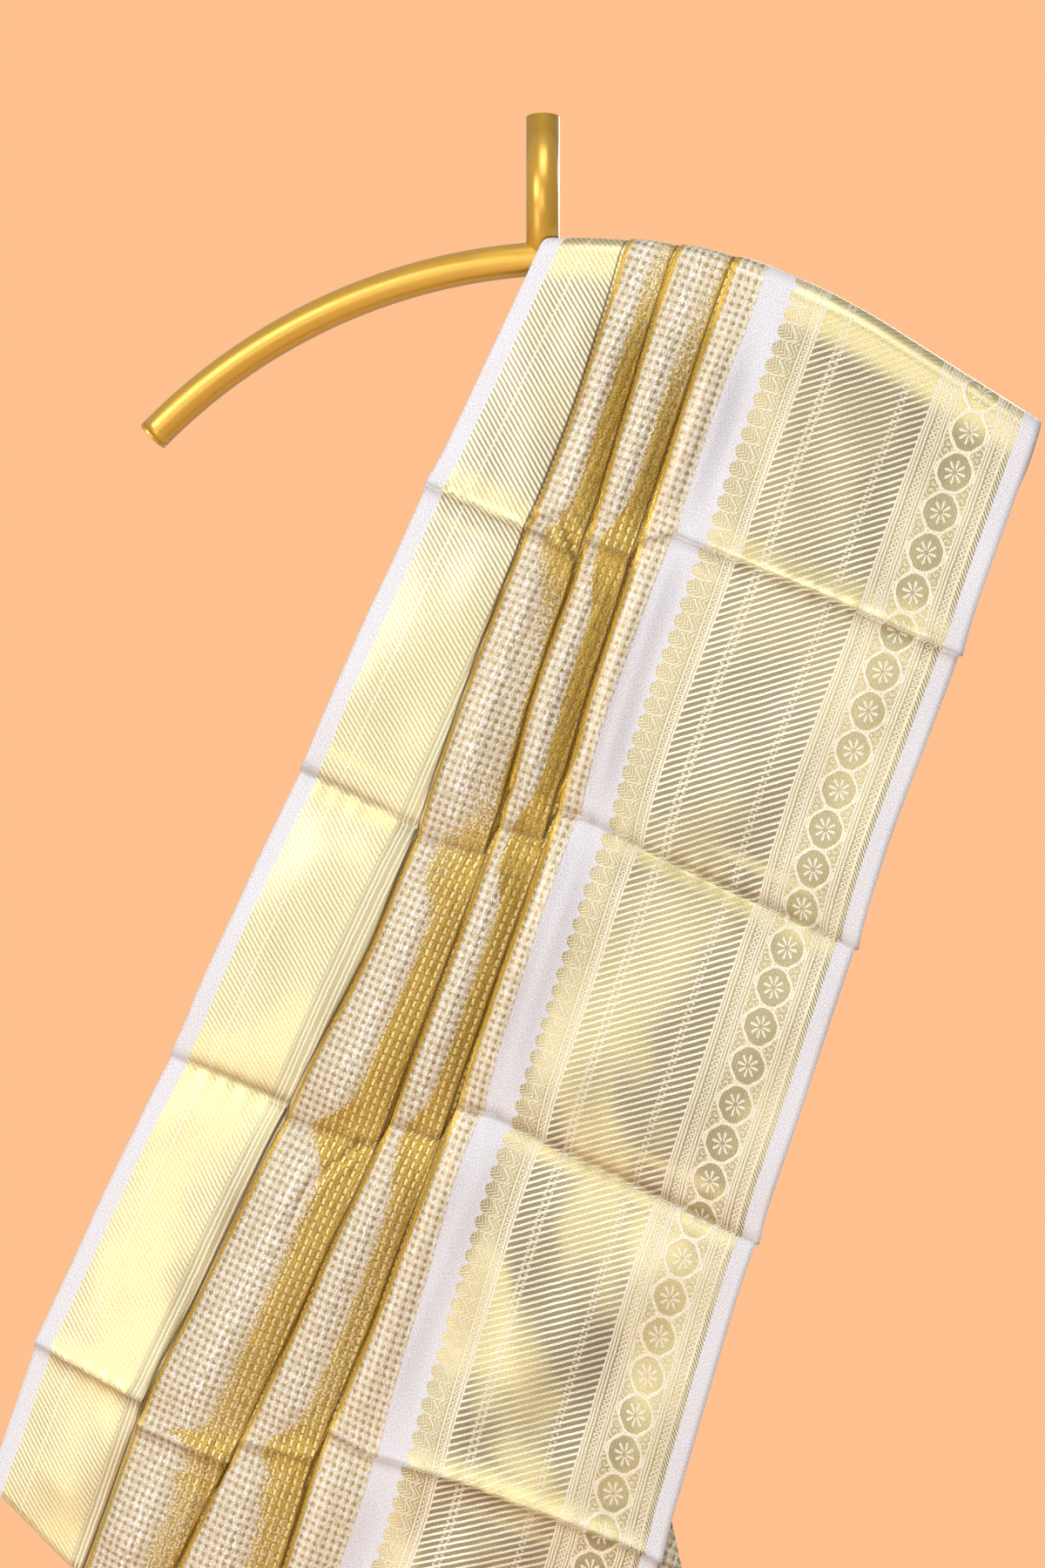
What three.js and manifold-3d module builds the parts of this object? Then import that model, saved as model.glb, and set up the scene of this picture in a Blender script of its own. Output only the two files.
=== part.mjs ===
// Tissue saree, pleated lengthwise and doubled, hung over the right arm of a curved tube hanger.
// Millimetres, +Z up, the front towards -Y. The origin is the middle of the stem's top end,
// where the hanger is held. The strip slants: q runs across it and t runs down it.
import * as THREE from 'three';
import Module from 'manifold-3d';
import { mergeVertices } from 'three/addons/utils/BufferGeometryUtils.js';

const wasm = await Module();
wasm.setup();

// Hanger
const tubeRadius = 18.25;
const archRadius = 664;
const armSpan = 450;
const stemLength = 154;
const capThickness = 4;
const capEdge = 1.2;
const seam = 0.3;
const tubeSides = 20;
const archSteps = 26;

// Saree
const clothWidth = 1150;
const slant = THREE.MathUtils.degToRad(22);
const wall = 1.0;
const layerGap = 0.5;
const step = wall + layerGap;
const tubeClearance = 1.3;
const innerWall = 1.0;
const innerGap = 0.9;
const settle = 100;
const foldTuck = 4;
const foldOpening = 2.6;
const puffHeight = 6.5;
const edgeRipple = 3;
const stemAside = 16;
const saddleLead = 14;
const turnDepth = 4;
const lipLength = 45;
const frontFall = 1508;
const cornerDrop = 45;
const liftFrom = 390;
const backFall = 1478;
const saddleSteps = 8;
const turnSteps = 4;

// Where the selvedges and fold edges lie across the strip, at each distance down the fall
const spread = [
  { down: -50, left: 0, fold1: 85, fold2: 141, fold3: 204, strip: 233, right: 560 },
  { down: 0, left: -3, fold1: 91, fold2: 144, fold3: 206, strip: 239, right: 568 },
  { down: 115, left: -10, fold1: 101, fold2: 154, fold3: 213, strip: 248, right: 573 },
  { down: 260, left: -20, fold1: 103, fold2: 168, fold3: 223, strip: 256, right: 580 },
  { down: 430, left: -34, fold1: 101, fold2: 174, fold3: 233, strip: 267, right: 584 },
  { down: 600, left: -42, fold1: 107, fold2: 191, fold3: 249, strip: 283, right: 596 },
  { down: 770, left: -53, fold1: 110, fold2: 198, fold3: 255, strip: 293, right: 608 },
  { down: 945, left: -63, fold1: 88, fold2: 198, fold3: 263, strip: 307, right: 617 },
  { down: 1150, left: -78, fold1: 74, fold2: 189, fold3: 266, strip: 306, right: 638 },
  { down: 1310, left: -88, fold1: 59, fold2: 178, fold3: 263, strip: 312, right: 654 },
  { down: 1500, left: -84, fold1: 60, fold2: 161, fold3: 278, strip: 326, right: 660 },
  { down: 1620, left: -80, fold1: 62, fold2: 157, fold3: 284, strip: 330, right: 662 },
];

// Pressed crosswise creases: how far down at each selvedge, and how far each stands out or in
const frontCreases = [
  { left: 272, right: 232, rise: 9 },
  { left: 623, right: 556, rise: -7 },
  { left: 975, right: 892, rise: -7 },
  { left: 1344, right: 1262, rise: 9 },
];
const backCreases = [
  { left: 372, right: 330, rise: 7 },
  { left: 718, right: 676, rise: -6 },
  { left: 1066, right: 1018, rise: 7 },
];
// Rows between two creases: the share of the way, how much of each crease's rise is left,
// how far the cloth bellies out and how far the pleats open
const frontSpan = [
  { share: 0.06, near: 0.55, far: 0, belly: 1, puff: 0.4 },
  { share: 0.3, near: 0.15, far: 0, belly: 4, puff: 1 },
  { share: 0.68, near: 0, far: 0.15, belly: 5, puff: 1 },
  { share: 0.94, near: 0, far: 0.55, belly: 1, puff: 0.4 },
];
const backSpan = [
  { share: 0.1, near: 0.5, far: 0, belly: 1, puff: 0.5 },
  { share: 0.5, near: 0, far: 0, belly: 5, puff: 1 },
  { share: 0.9, near: 0, far: 0.5, belly: 1, puff: 0.5 },
];
const creasePuff = 0.1;
const saddlePuff = 0.15;

// Shares of a visible face at which its section has a point
const faceShares = [0.07, 0.25, 0.55, 0.8, 1];
const borderShares = [0.12, 0.26, 0.42, 0.58, 0.74, 0.88, 1];
const panelShares = [0, 0.2, 0.45, 0.72, 1];
const innerPoints = 12;
const innerInset = { left: 14, right: 10 };
const innerPeek = { from: 1190, to: 1300, reach: 60 };
// Places across the strip at which the creases' left and right values hold
const creaseEnds = { from: -60, to: 600 };

const lerp = THREE.MathUtils.lerp;
const clamp = THREE.MathUtils.clamp;
const cosSlant = Math.cos(slant);
const sinSlant = Math.sin(slant);

const steel = new THREE.MeshStandardMaterial({ color: 0xd9a93a, roughness: 0.3, metalness: 0.9 });
const tissue = new THREE.MeshStandardMaterial({
  color: 0xe8d48c, roughness: 0.45, metalness: 0.35,
});
const tissueShade = new THREE.MeshStandardMaterial({
  color: 0xc9ad62, roughness: 0.5, metalness: 0.3,
});

const group = new THREE.Group();
group.name = 'tissue_saree_on_hanger';

function addMesh(name, geometry, material) {
  const mesh = new THREE.Mesh(geometry, material.clone());
  mesh.name = name;
  group.add(mesh);
  return mesh;
}

// A point of the strip from q across, t down and y towards the back
function place(q, t, y) {
  return new THREE.Vector3(
    q * cosSlant - t * sinSlant,
    y,
    -stemLength - q * sinSlant - t * cosSlant,
  );
}

// The line that the cloth bends over, in the strip's own frame: how far down it lies at q.
// It is the arch's centre line, and past liftFrom the stiff cloth runs straight off the tube.
function clothAxis(q) {
  const aside = Math.min(q, liftFrom) - archRadius * sinSlant;
  const drop = Math.sqrt(archRadius ** 2 - aside ** 2);
  return archRadius * cosSlant - drop + Math.max(q - liftFrom, 0) * (aside / drop);
}

// Where a section square to the strip cuts the tube, it is longer by this much
function tubeStretch(q) {
  const aside = Math.min(q, liftFrom) - archRadius * sinSlant;
  return archRadius / Math.sqrt(archRadius ** 2 - aside ** 2);
}

function spreadAt(down, column) {
  const last = spread.length - 1;
  let i = 0;
  while (i < last - 1 && spread[i + 1].down < down) i += 1;
  const share = clamp((down - spread[i].down) / (spread[i + 1].down - spread[i].down), 0, 1);
  return lerp(spread[i][column], spread[i + 1][column], share);
}

// Fill in a row's fold places, and the width that each pleat turns under there
function finishRow(row) {
  for (const column of ['left', 'fold1', 'fold2', 'fold3', 'strip', 'right']) {
    const guess = spreadAt(row.down(200), column);
    row[column] = spreadAt(row.down(guess), column) + (column === 'left' ? row.aside ?? 0 : 0);
  }
  row.under = (clothWidth - (row.right - row.left)) / 6;
  return row;
}

function hangingRow(side, leftDown, rightDown, relief, puff) {
  const { from, to } = creaseEnds;
  const down = (q) => lerp(leftDown, rightDown, (q - from) / (to - from));
  const at = (q, height) => place(q, down(q), side * (tubeRadius + height + relief));
  return finishRow({ down, at, puff });
}

// A row beside the tube, just below its widest place
function leadRow(side, lead) {
  const down = (q) => clothAxis(q) + lead;
  const at = (q, height) => place(q, down(q), side * (tubeRadius + height));
  return finishRow({ down, at, puff: saddlePuff });
}

function saddleRow(angle) {
  const rise = Math.sin(angle);
  const down = (q) => clothAxis(q) - tubeRadius * rise;
  const at = (q, height) => place(
    q,
    clothAxis(q) - (tubeRadius + height) * rise * tubeStretch(q),
    -(tubeRadius + height) * Math.cos(angle),
  );
  return finishRow({ down, at, puff: saddlePuff, aside: stemAside * rise });
}

// The turned-under bottom of the front fall, lifted a little at its left corner
function turnRow(angle, lift) {
  const down = (q) => frontFall + cornerDrop * clamp((q + 90) / 130, 0, 1);
  const at = (q, height) => {
    const radius = height + turnDepth;
    const t = down(q) + radius * Math.sin(angle) - lift;
    return place(q, t, turnDepth - tubeRadius - radius * Math.cos(angle));
  };
  return finishRow({ down, at, puff: saddlePuff });
}

function spanRows(side, creases, span, start, end) {
  const stops = [start, ...creases, end];
  const rows = [];
  for (let i = 0; i < stops.length - 1; i += 1) {
    const [near, far] = [stops[i], stops[i + 1]];
    if (i > 0) rows.push(hangingRow(side, near.left, near.right, near.rise, creasePuff));
    for (const { share, near: keep, far: meet, belly, puff } of span) {
      const relief = near.rise * keep + far.rise * meet + belly;
      const leftDown = lerp(near.left, far.left, share);
      rows.push(hangingRow(side, leftDown, lerp(near.right, far.right, share), relief, puff));
    }
  }
  return rows;
}

const frontRows = [
  leadRow(-1, saddleLead + seam / 2),
  ...spanRows(-1, frontCreases, frontSpan,
    { left: 0, right: 40, rise: 0 }, { left: 1470, right: 1500, rise: 0 }),
];
for (let i = 0; i <= turnSteps; i += 1) frontRows.push(turnRow((i / turnSteps) * Math.PI, 0));
frontRows.push(turnRow(Math.PI, lipLength));

const overRows = [leadRow(-1, saddleLead - seam / 2)];
for (let i = 0; i <= saddleSteps; i += 1) overRows.push(saddleRow((i / saddleSteps) * Math.PI));
overRows.push(leadRow(1, saddleLead - seam / 2));

const backRows = [
  leadRow(1, saddleLead + seam / 2),
  ...spanRows(1, backCreases, backSpan,
    { left: 0, right: 40, rise: 0 }, { left: backFall, right: backFall - 30, rise: 0 }),
  hangingRow(1, backFall, backFall - 30, 1, 0.5),
];

// Height of a layer's middle above the tube's surface plane. Layers are counted from the
// narrow border, 0, to the broad panel's face, 6. Where the pair below ends, the rest sinks.
function levelAt(row, layer, q) {
  let height = tubeClearance + innerWall + innerGap + wall / 2 + layer * step;
  for (const [index, fold] of [row.fold1, row.fold2, row.fold3].entries()) {
    if (layer < 2 * index + 2) continue;
    height -= 2 * step * clamp((q - fold - row.under) / settle, 0, 1);
  }
  return height;
}

// Section of the narrow border panel: it ends beneath the first pleat
function borderSection(row) {
  const edge = row.fold1 - foldTuck;
  const points = [];
  for (const share of panelShares) {
    const q = lerp(row.left, edge, share);
    points.push([q, levelAt(row, 0, q) + edgeRipple * row.puff * Math.sin(Math.PI * share)]);
  }
  for (const share of [0.5, 1]) {
    const q = row.fold1 + row.under * share;
    points.push([q, levelAt(row, 0, q)]);
  }
  return points;
}

// Section of a pleat: the part turned under, the soft fold and the face, up to q = next
function pleatSection(row, index, face) {
  const fold = row[`fold${index}`];
  const under = 2 * index - 1;
  const gap = step + foldOpening * row.puff;
  const base = levelAt(row, under, fold);
  const points = [];
  for (const share of [1, 0.4]) {
    const q = fold + row.under * share;
    points.push([q, levelAt(row, under, q)]);
  }
  for (const turn of [-90, -180, -270]) {
    const angle = THREE.MathUtils.degToRad(turn);
    const q = fold + (gap / 2) * (1 + Math.cos(angle));
    points.push([q, base + gap / 2 + (gap / 2) * Math.sin(angle)]);
  }
  const from = fold + gap / 2;
  for (const share of faceShares) {
    const q = lerp(from, face, share);
    const open = foldOpening * row.puff * (1 - share);
    const puff = puffHeight * row.puff * Math.sin(Math.PI * share ** 0.7);
    points.push([q, levelAt(row, under + 1, q) + open + puff]);
  }
  return points;
}

function foldSection(index) {
  return (row) => {
    const next = row[`fold${index + 1}`];
    const points = pleatSection(row, index, next - foldTuck);
    for (const share of [0.5, 1]) {
      const q = next + row.under * share;
      points.push([q, levelAt(row, 2 * index, q)]);
    }
    return points;
  };
}

// Section of the broad panel: third pleat, check strip and broad border out to the selvedge
function broadSection(row) {
  const from = lerp(row.fold3, row.strip, 1.7);
  const points = pleatSection(row, 3, from);
  for (const share of borderShares) {
    const q = lerp(from, row.right, share);
    points.push([q, levelAt(row, 6, q)]);
  }
  return points;
}

function innerSection(row) {
  const peek = clamp((row.down(row.right) - innerPeek.from) / (innerPeek.to - innerPeek.from), 0, 1);
  const reach = row.front ? innerPeek.reach * peek : 0;
  const points = [];
  for (let i = 0; i < innerPoints; i += 1) {
    const share = i / (innerPoints - 1);
    const q = lerp(row.left + innerInset.left, row.right - innerInset.right + reach, share);
    points.push([q, tubeClearance + innerWall / 2]);
  }
  return points;
}

// Offset a section to both sides by half a wall, as pairs of outer and inner points
function thicken(points, thickness) {
  return points.map(([q, height], i) => {
    const before = points[Math.max(i - 1, 0)];
    const after = points[Math.min(i + 1, points.length - 1)];
    const length = Math.hypot(after[0] - before[0], after[1] - before[1]);
    const aside = [-(after[1] - before[1]) / length, (after[0] - before[0]) / length];
    const half = thickness / 2;
    return [
      [q + aside[0] * half, height + aside[1] * half],
      [q - aside[0] * half, height - aside[1] * half],
    ];
  });
}

// Sweep a section down its rows into one closed wall
function sweepWall(rows, section, thickness) {
  const positions = [];
  const count = section(rows[0]).length;
  for (const row of rows) {
    const pairs = thicken(section(row), thickness);
    const ring = [...pairs.map((p) => p[0]), ...pairs.map((p) => p[1]).reverse()];
    for (const [q, height] of ring) positions.push(...row.at(q, height).toArray());
  }
  const size = 2 * count;
  const index = [];
  const quad = (a, b, c, d) => index.push(a, b, c, a, c, d);
  for (let r = 0; r < rows.length - 1; r += 1) {
    for (let i = 0; i < size; i += 1) {
      const j = (i + 1) % size;
      quad(r * size + i, r * size + j, (r + 1) * size + j, (r + 1) * size + i);
    }
  }
  const end = (rows.length - 1) * size;
  for (let i = 0; i < count - 1; i += 1) {
    quad(i + 1, i, size - 1 - i, size - 2 - i);
    quad(end + i, end + i + 1, end + size - 2 - i, end + size - 1 - i);
  }
  const geometry = new THREE.BufferGeometry();
  geometry.setAttribute('position', new THREE.Float32BufferAttribute(positions, 3));
  geometry.setIndex(index);
  return faceOut(geometry);
}

// Turn a closed mesh so that its faces point out
function faceOut(geometry) {
  const p = geometry.attributes.position;
  const index = geometry.index.array;
  const [a, b, c] = [new THREE.Vector3(), new THREE.Vector3(), new THREE.Vector3()];
  let volume = 0;
  for (let i = 0; i < index.length; i += 3) {
    a.fromBufferAttribute(p, index[i]);
    b.fromBufferAttribute(p, index[i + 1]);
    c.fromBufferAttribute(p, index[i + 2]);
    volume += a.dot(b.cross(c));
  }
  if (volume < 0) {
    for (let i = 0; i < index.length; i += 3) {
      [index[i + 1], index[i + 2]] = [index[i + 2], index[i + 1]];
    }
  }
  return geometry;
}

function toSolid(geometry) {
  const bare = geometry.clone();
  bare.deleteAttribute('normal');
  bare.deleteAttribute('uv');
  const merged = mergeVertices(bare, 1e-4);
  return new wasm.Manifold(new wasm.Mesh({
    numProp: 3,
    vertProperties: merged.attributes.position.array,
    triVerts: new Uint32Array(merged.index.array),
  }));
}

function fromSolid(solid) {
  const mesh = solid.getMesh();
  const geometry = new THREE.BufferGeometry();
  geometry.setAttribute('position', new THREE.BufferAttribute(mesh.vertProperties, 3));
  geometry.setIndex(new THREE.BufferAttribute(mesh.triVerts, 1));
  return geometry;
}

// The arch as rings about its centre line, from one arm's end to the other
function archTube(radius, fromAngle, toAngle, steps) {
  const positions = [];
  for (let i = 0; i <= steps; i += 1) {
    const angle = lerp(fromAngle, toAngle, i / steps);
    for (let k = 0; k < tubeSides; k += 1) {
      const around = (k / tubeSides) * 2 * Math.PI;
      const reach = archRadius + radius * Math.cos(around);
      positions.push(
        reach * Math.sin(angle),
        radius * Math.sin(around),
        reach * Math.cos(angle) - archRadius - stemLength,
      );
    }
  }
  const index = [];
  for (let i = 0; i < steps; i += 1) {
    for (let k = 0; k < tubeSides; k += 1) {
      const j = (k + 1) % tubeSides;
      const [a, b] = [i * tubeSides, (i + 1) * tubeSides];
      index.push(a + k, a + j, b + j, a + k, b + j, b + k);
    }
  }
  const end = steps * tubeSides;
  for (let k = 1; k < tubeSides - 1; k += 1) {
    index.push(0, k + 1, k);
    index.push(end, end + k, end + k + 1);
  }
  const geometry = new THREE.BufferGeometry();
  geometry.setAttribute('position', new THREE.Float32BufferAttribute(positions, 3));
  geometry.setIndex(index);
  return faceOut(geometry);
}

// Closed plug on an arm's end, with its outer edge eased
function endCap() {
  const profile = [
    new THREE.Vector2(0, 0),
    new THREE.Vector2(tubeRadius, 0),
    new THREE.Vector2(tubeRadius, capThickness - capEdge),
    new THREE.Vector2(tubeRadius - capEdge, capThickness),
    new THREE.Vector2(0, capThickness),
  ];
  return new THREE.LatheGeometry(profile, tubeSides);
}

const armAngle = Math.asin(armSpan / archRadius);
addMesh('hanger_arch', archTube(tubeRadius, -armAngle, armAngle, archSteps), steel);

const stemGeometry = new THREE.CylinderGeometry(tubeRadius, tubeRadius, stemLength, tubeSides);
stemGeometry.rotateX(Math.PI / 2);
stemGeometry.translate(0, 0, -stemLength / 2);
const saddleCut = archTube(tubeRadius + seam, -0.06, 0.06, 4);
addMesh('hanger_stem', fromSolid(toSolid(stemGeometry).subtract(toSolid(saddleCut))), steel);

for (const [name, side] of [['left', -1], ['right', 1]]) {
  const cap = addMesh(`hanger_cap_${name}`, endCap(), steel);
  const along = new THREE.Vector3(Math.cos(armAngle), 0, -Math.sin(armAngle));
  along.x *= side;
  cap.quaternion.setFromUnitVectors(new THREE.Vector3(0, 1, 0), along);
  cap.position.set(
    side * armSpan,
    0,
    archRadius * Math.cos(armAngle) - archRadius - stemLength,
  ).addScaledVector(along, seam);
}

for (const row of frontRows) row.front = true;
const innerFront = frontRows.slice(0, -turnSteps - 2);
const stretches = [
  { name: 'front', rows: frontRows, inner: innerFront },
  { name: 'over', rows: overRows, inner: overRows },
  { name: 'back', rows: backRows, inner: backRows },
];
for (const { name, rows, inner } of stretches) {
  addMesh(`narrow_border_${name}`, sweepWall(rows, borderSection, wall), tissue);
  addMesh(`pleat_1_${name}`, sweepWall(rows, foldSection(1), wall), tissue);
  addMesh(`pleat_2_${name}`, sweepWall(rows, foldSection(2), wall), tissue);
  addMesh(`broad_panel_${name}`, sweepWall(rows, broadSection, wall), tissue);
  addMesh(`inner_layer_${name}`, sweepWall(inner, innerSection, innerWall), tissueShade);
}

export default group;
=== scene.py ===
import math

import bmesh
import bpy
import numpy as np
from mathutils import Matrix, Vector


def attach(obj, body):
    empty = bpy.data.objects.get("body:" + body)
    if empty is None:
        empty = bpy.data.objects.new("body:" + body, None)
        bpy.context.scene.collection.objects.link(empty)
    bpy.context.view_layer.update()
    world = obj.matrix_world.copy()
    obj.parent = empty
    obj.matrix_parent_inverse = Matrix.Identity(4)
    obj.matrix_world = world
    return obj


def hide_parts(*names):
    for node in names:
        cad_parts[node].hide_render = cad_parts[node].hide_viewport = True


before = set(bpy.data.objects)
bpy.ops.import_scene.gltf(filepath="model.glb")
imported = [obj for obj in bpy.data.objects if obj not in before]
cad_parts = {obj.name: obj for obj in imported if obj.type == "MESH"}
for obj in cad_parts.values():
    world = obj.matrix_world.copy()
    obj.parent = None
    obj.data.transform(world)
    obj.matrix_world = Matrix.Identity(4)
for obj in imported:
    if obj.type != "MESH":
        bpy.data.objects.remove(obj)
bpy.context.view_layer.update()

# Tissue saree, pleated and doubled over one arm of a curved tube hanger.
# Cloth sizes are in millimetres until placePoint turns them into metres.
mm = 0.001

hanger = {
    "tubeRadius": 18.25,
    "archRadius": 664.0,     # centre line of the arch
    "armSpan": 450.0,        # middle of the stem to an arm's end
    "stemLength": 154.0,     # stem top to the arch's centre line
    "sides": 64,
    "archSteps": 120,
    "capThickness": 4.0,
    "paint": "#DAA83C",
    "peelSize": 2.4,
    "patchSize": 35.0,
    "lipWidth": 3.2,         # rim of a plug round its shallow dish
    "dishSlope": 1.2,
    "dishDepth": 1.6,
    "rimBevel": 0.5,
}

strip = {
    "slant": math.radians(22),
    "clothWidth": 1150.0,
    "liftFrom": 390.0,       # past here the stiff cloth runs straight off the tube
    "clearance": 1.2,
    "layerStep": 0.85,       # middle of one layer to the middle of the next
    "thickness": 0.5,
    "settle": 100.0,         # the stack sinks over this width where two layers end
    "foldTuck": 4.0,
    "foldOpening": 4.2,
    "puffHeight": 12.5,
    "stemAside": 17.0,
    "stemReach": 20.2,       # cloth keeps this far from the middle of the stem
    "curlFrom": 0.9,         # angles round the tube between which the corner stands up
    "curlTo": 1.8,
    "sinkHidden": 2.5,       # hidden folds lie this much deeper, clear of the face above them
    "backInset": 9.0,        # the back fall hangs this far inside the front one's right selvedge
    "sinkInner": 6.0,
    "turnDepth": 4.0,
    "lipLength": 45.0,
    "frontFall": 1508.0,
    "cornerDrop": 45.0,
    "backFall": 1478.0,
    "notches": {"left": -2.5, "right": 4.0},
    "notchReach": 24.0,
}

# Places across the strip of the selvedges, the three fold edges and the check's edge
spread = {
    "down": [-50, 0, 115, 260, 430, 600, 770, 945, 1150, 1310, 1500, 1620],
    "left": [0, -3, -10, -20, -34, -42, -53, -63, -78, -88, -84, -80],
    "fold1": [85, 91, 101, 103, 101, 107, 110, 88, 74, 59, 60, 62],
    "fold2": [141, 144, 154, 168, 174, 191, 198, 198, 189, 178, 161, 157],
    "fold3": [204, 206, 213, 223, 233, 249, 255, 263, 266, 263, 278, 284],
    "strip": [233, 239, 248, 256, 267, 283, 293, 307, 306, 312, 326, 330],
    "right": [560, 568, 573, 580, 584, 596, 608, 617, 638, 654, 660, 662],
}

# Pressed crosswise creases, stepped from pleat to pleat. Each gives how far down it lies at both
# sides of the narrow border and of pleats 1 to 3, then across the broad border, and its rise
frontCreases = [
    {"down": [269, 280, 276, 290, 268, 268, 248, 228, 233, 240], "rise": 13.0},
    {"down": [617, 627, 638, 627, 592, 587, 553, 548, 557, 564], "rise": -11.5},
    {"down": [974, 971, 987, 973, 942, 936, 896, 886, 892, 895], "rise": -12.0},
    {"down": [1337, 1341, 1368, 1364, 1333, 1315, 1277, 1282, 1262, 1249], "rise": 13.0},
]
backCreases = [
    {"down": [372, 366, 378, 370, 352, 348, 338, 336, 334, 330], "rise": 7.0},
    {"down": [718, 712, 724, 716, 698, 694, 684, 682, 680, 676], "rise": -6.5},
    {"down": [1066, 1060, 1072, 1064, 1044, 1040, 1026, 1024, 1022, 1018], "rise": 7.0},
]

# Rows along the cloth in each stretch, front and back between two creases, and points across it
rowCounts = {"turn": 10, "lip": 6, "saddle": 22, "front": 44, "back": 34}
pointCounts = {"narrow": 34, "pleat": 26, "lastPleat": 16, "broad": 46, "inner": 40}

cosSlant = math.cos(strip["slant"])
sinSlant = math.sin(strip["slant"])
axisAcross = hanger["archRadius"] * sinSlant
axisDown = hanger["archRadius"] * cosSlant

denseDown = np.arange(-100.0, 1700.0, 5.0)


def smoothColumn(name):
    values = np.interp(denseDown, spread["down"], spread[name])
    window = np.hanning(27)
    padded = np.pad(values, 13, mode="edge")
    return np.convolve(padded, window / window.sum(), mode="valid")


columns = {name: smoothColumn(name) for name in spread if name != "down"}


def acrossAt(name, down):
    return np.interp(down, denseDown, columns[name])


def placePoint(q, down, y):
    x = q * cosSlant - down * sinSlant
    z = -hanger["stemLength"] - q * sinSlant - down * cosSlant
    return np.stack([x, np.broadcast_to(y, x.shape), z], axis=-1) * mm


def clothAxis(q):
    aside = np.minimum(q, strip["liftFrom"]) - axisAcross
    drop = np.sqrt(hanger["archRadius"] ** 2 - aside ** 2)
    return axisDown - drop + np.maximum(q - strip["liftFrom"], 0) * aside / drop


def tubeStretch(q):
    aside = np.minimum(q, strip["liftFrom"]) - axisAcross
    return hanger["archRadius"] / np.sqrt(hanger["archRadius"] ** 2 - aside ** 2)


# A crease steps just left of each fold, where the next pleat hides the step
for crease in frontCreases + backCreases:
    levels = crease["down"]
    folds = [float(acrossAt("fold%d" % i, levels[2 * i])) for i in (1, 2, 3)]
    crease["places"] = [-90, *(fold + step for fold in folds for step in (-3.6, -1.4)),
                        float(acrossAt("strip", levels[7])), 430, 600]
    crease["marks"] = [float(acrossAt("left", levels[0])), *folds, float(acrossAt("right", levels[9]))]


def creaseLine(crease, q):
    return np.interp(q, crease["places"], crease["down"])


# The same line for points above or below the crease, where the folds lie elsewhere
def creaseNear(crease, q, down):
    marks = crease["marks"]
    here = [acrossAt(name, down) for name in ("left", "fold1", "fold2", "fold3", "right")]
    moved = marks[0] + np.minimum(q - here[0], 0) + np.maximum(q - here[4], 0)
    for i in range(4):
        share = np.clip((q - here[i]) / (here[i + 1] - here[i]), 0, 1)
        moved = moved + (marks[i + 1] - marks[i]) * share
    return creaseLine(crease, moved)


def bottomLine(q):
    return strip["frontFall"] + strip["cornerDrop"] * np.clip((q + 90) / 130, 0, 1)


# Soft unevenness of the whole stack: long low swells, and their spacing across and down
swells = [
    {"across": 210.0, "down": 330.0, "turn": 0.3, "height": 1.3},
    {"across": 130.0, "down": 240.0, "turn": 1.9, "height": 0.9},
    {"across": 75.0, "down": -160.0, "turn": 4.1, "height": 0.5},
]


def swellAt(q, down, side):
    total = np.zeros_like(q)
    for swell in swells:
        phase = 2 * math.pi * (q / swell["across"] + down / swell["down"])
        total += swell["height"] * np.sin(phase + swell["turn"] + side)
    return total


def creasesOf(side):
    return frontCreases if side < 0 else backCreases


def creaseGap(q, down, side):
    gaps = [np.abs(down - creaseNear(crease, q, down)) for crease in creasesOf(side)]
    return np.min(gaps, axis=0)


# A crease is a sharp line with a slope and a wide swell beside it: each one's share of the rise
# and its reach. Short ripples run out from it, and stiff cloth stands off the layers under it
pressed = {
    "line": (0.16, 5.0),
    "slope": (0.58, 32.0),
    "swell": (0.26, 80.0),
    "uneven": 0.22,
    "ripple": (0.8, 14.0),
    "standOff": 3.0,
    "flatReach": 48.0,       # the pleats are pressed flat this near a crease
    "footReach": 60.0,       # and less so this near the bottom
    "freeFrom": 12.0,        # the cloth leaves the tube here and hangs free over the next stretch
    "freeOver": 110.0,
}


def reliefAt(q, down, side):
    total = np.zeros_like(q)
    for crease in creasesOf(side):
        gap = np.abs(down - creaseNear(crease, q, down))
        uneven = 1 + pressed["uneven"] * np.sin(q / 61 + crease["rise"])
        profile = (pressed["line"][0] * np.exp(-gap / pressed["line"][1])
                   + pressed["slope"][0] * np.exp(-gap / pressed["slope"][1])
                   + pressed["swell"][0] * np.exp(-(gap / pressed["swell"][1]) ** 2))
        total += crease["rise"] * uneven * profile
    height, reach = pressed["ripple"]
    ripple = height * np.sin(q / 5.2 + 2.2 * np.sin(q / 23)) * np.exp(-creaseGap(q, down, side) / reach)
    total += pressAt(q, down, side) * (pressed["standOff"] + swellAt(q, down, side))
    return total + tuckAt(q, down, side) + ripple * fromTube(q, down)


# Painted light and shade in bands beside a crease that stands out or in, and a painted bright band
# on the tube: how strong each is, its middle below the crease where it has one, and its reach
bands = {
    "aboveRidge": 32.0,
    "belowRidge": (0.95, 10.0),
    "ridgeEcho": (0.5, 27.0, 10.0),
    "aboveValley": 14.0,
    "belowValley": (0.8, 24.0),
    "valleyEcho": (0.65, -33.0, 12.0),
    "tube": (1.0, 4.0, 26.0),
}


def paintedBandAt(below, name):
    strength, middle, reach = bands[name]
    return strength * np.exp(-((below - middle) / reach) ** 2)
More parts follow.
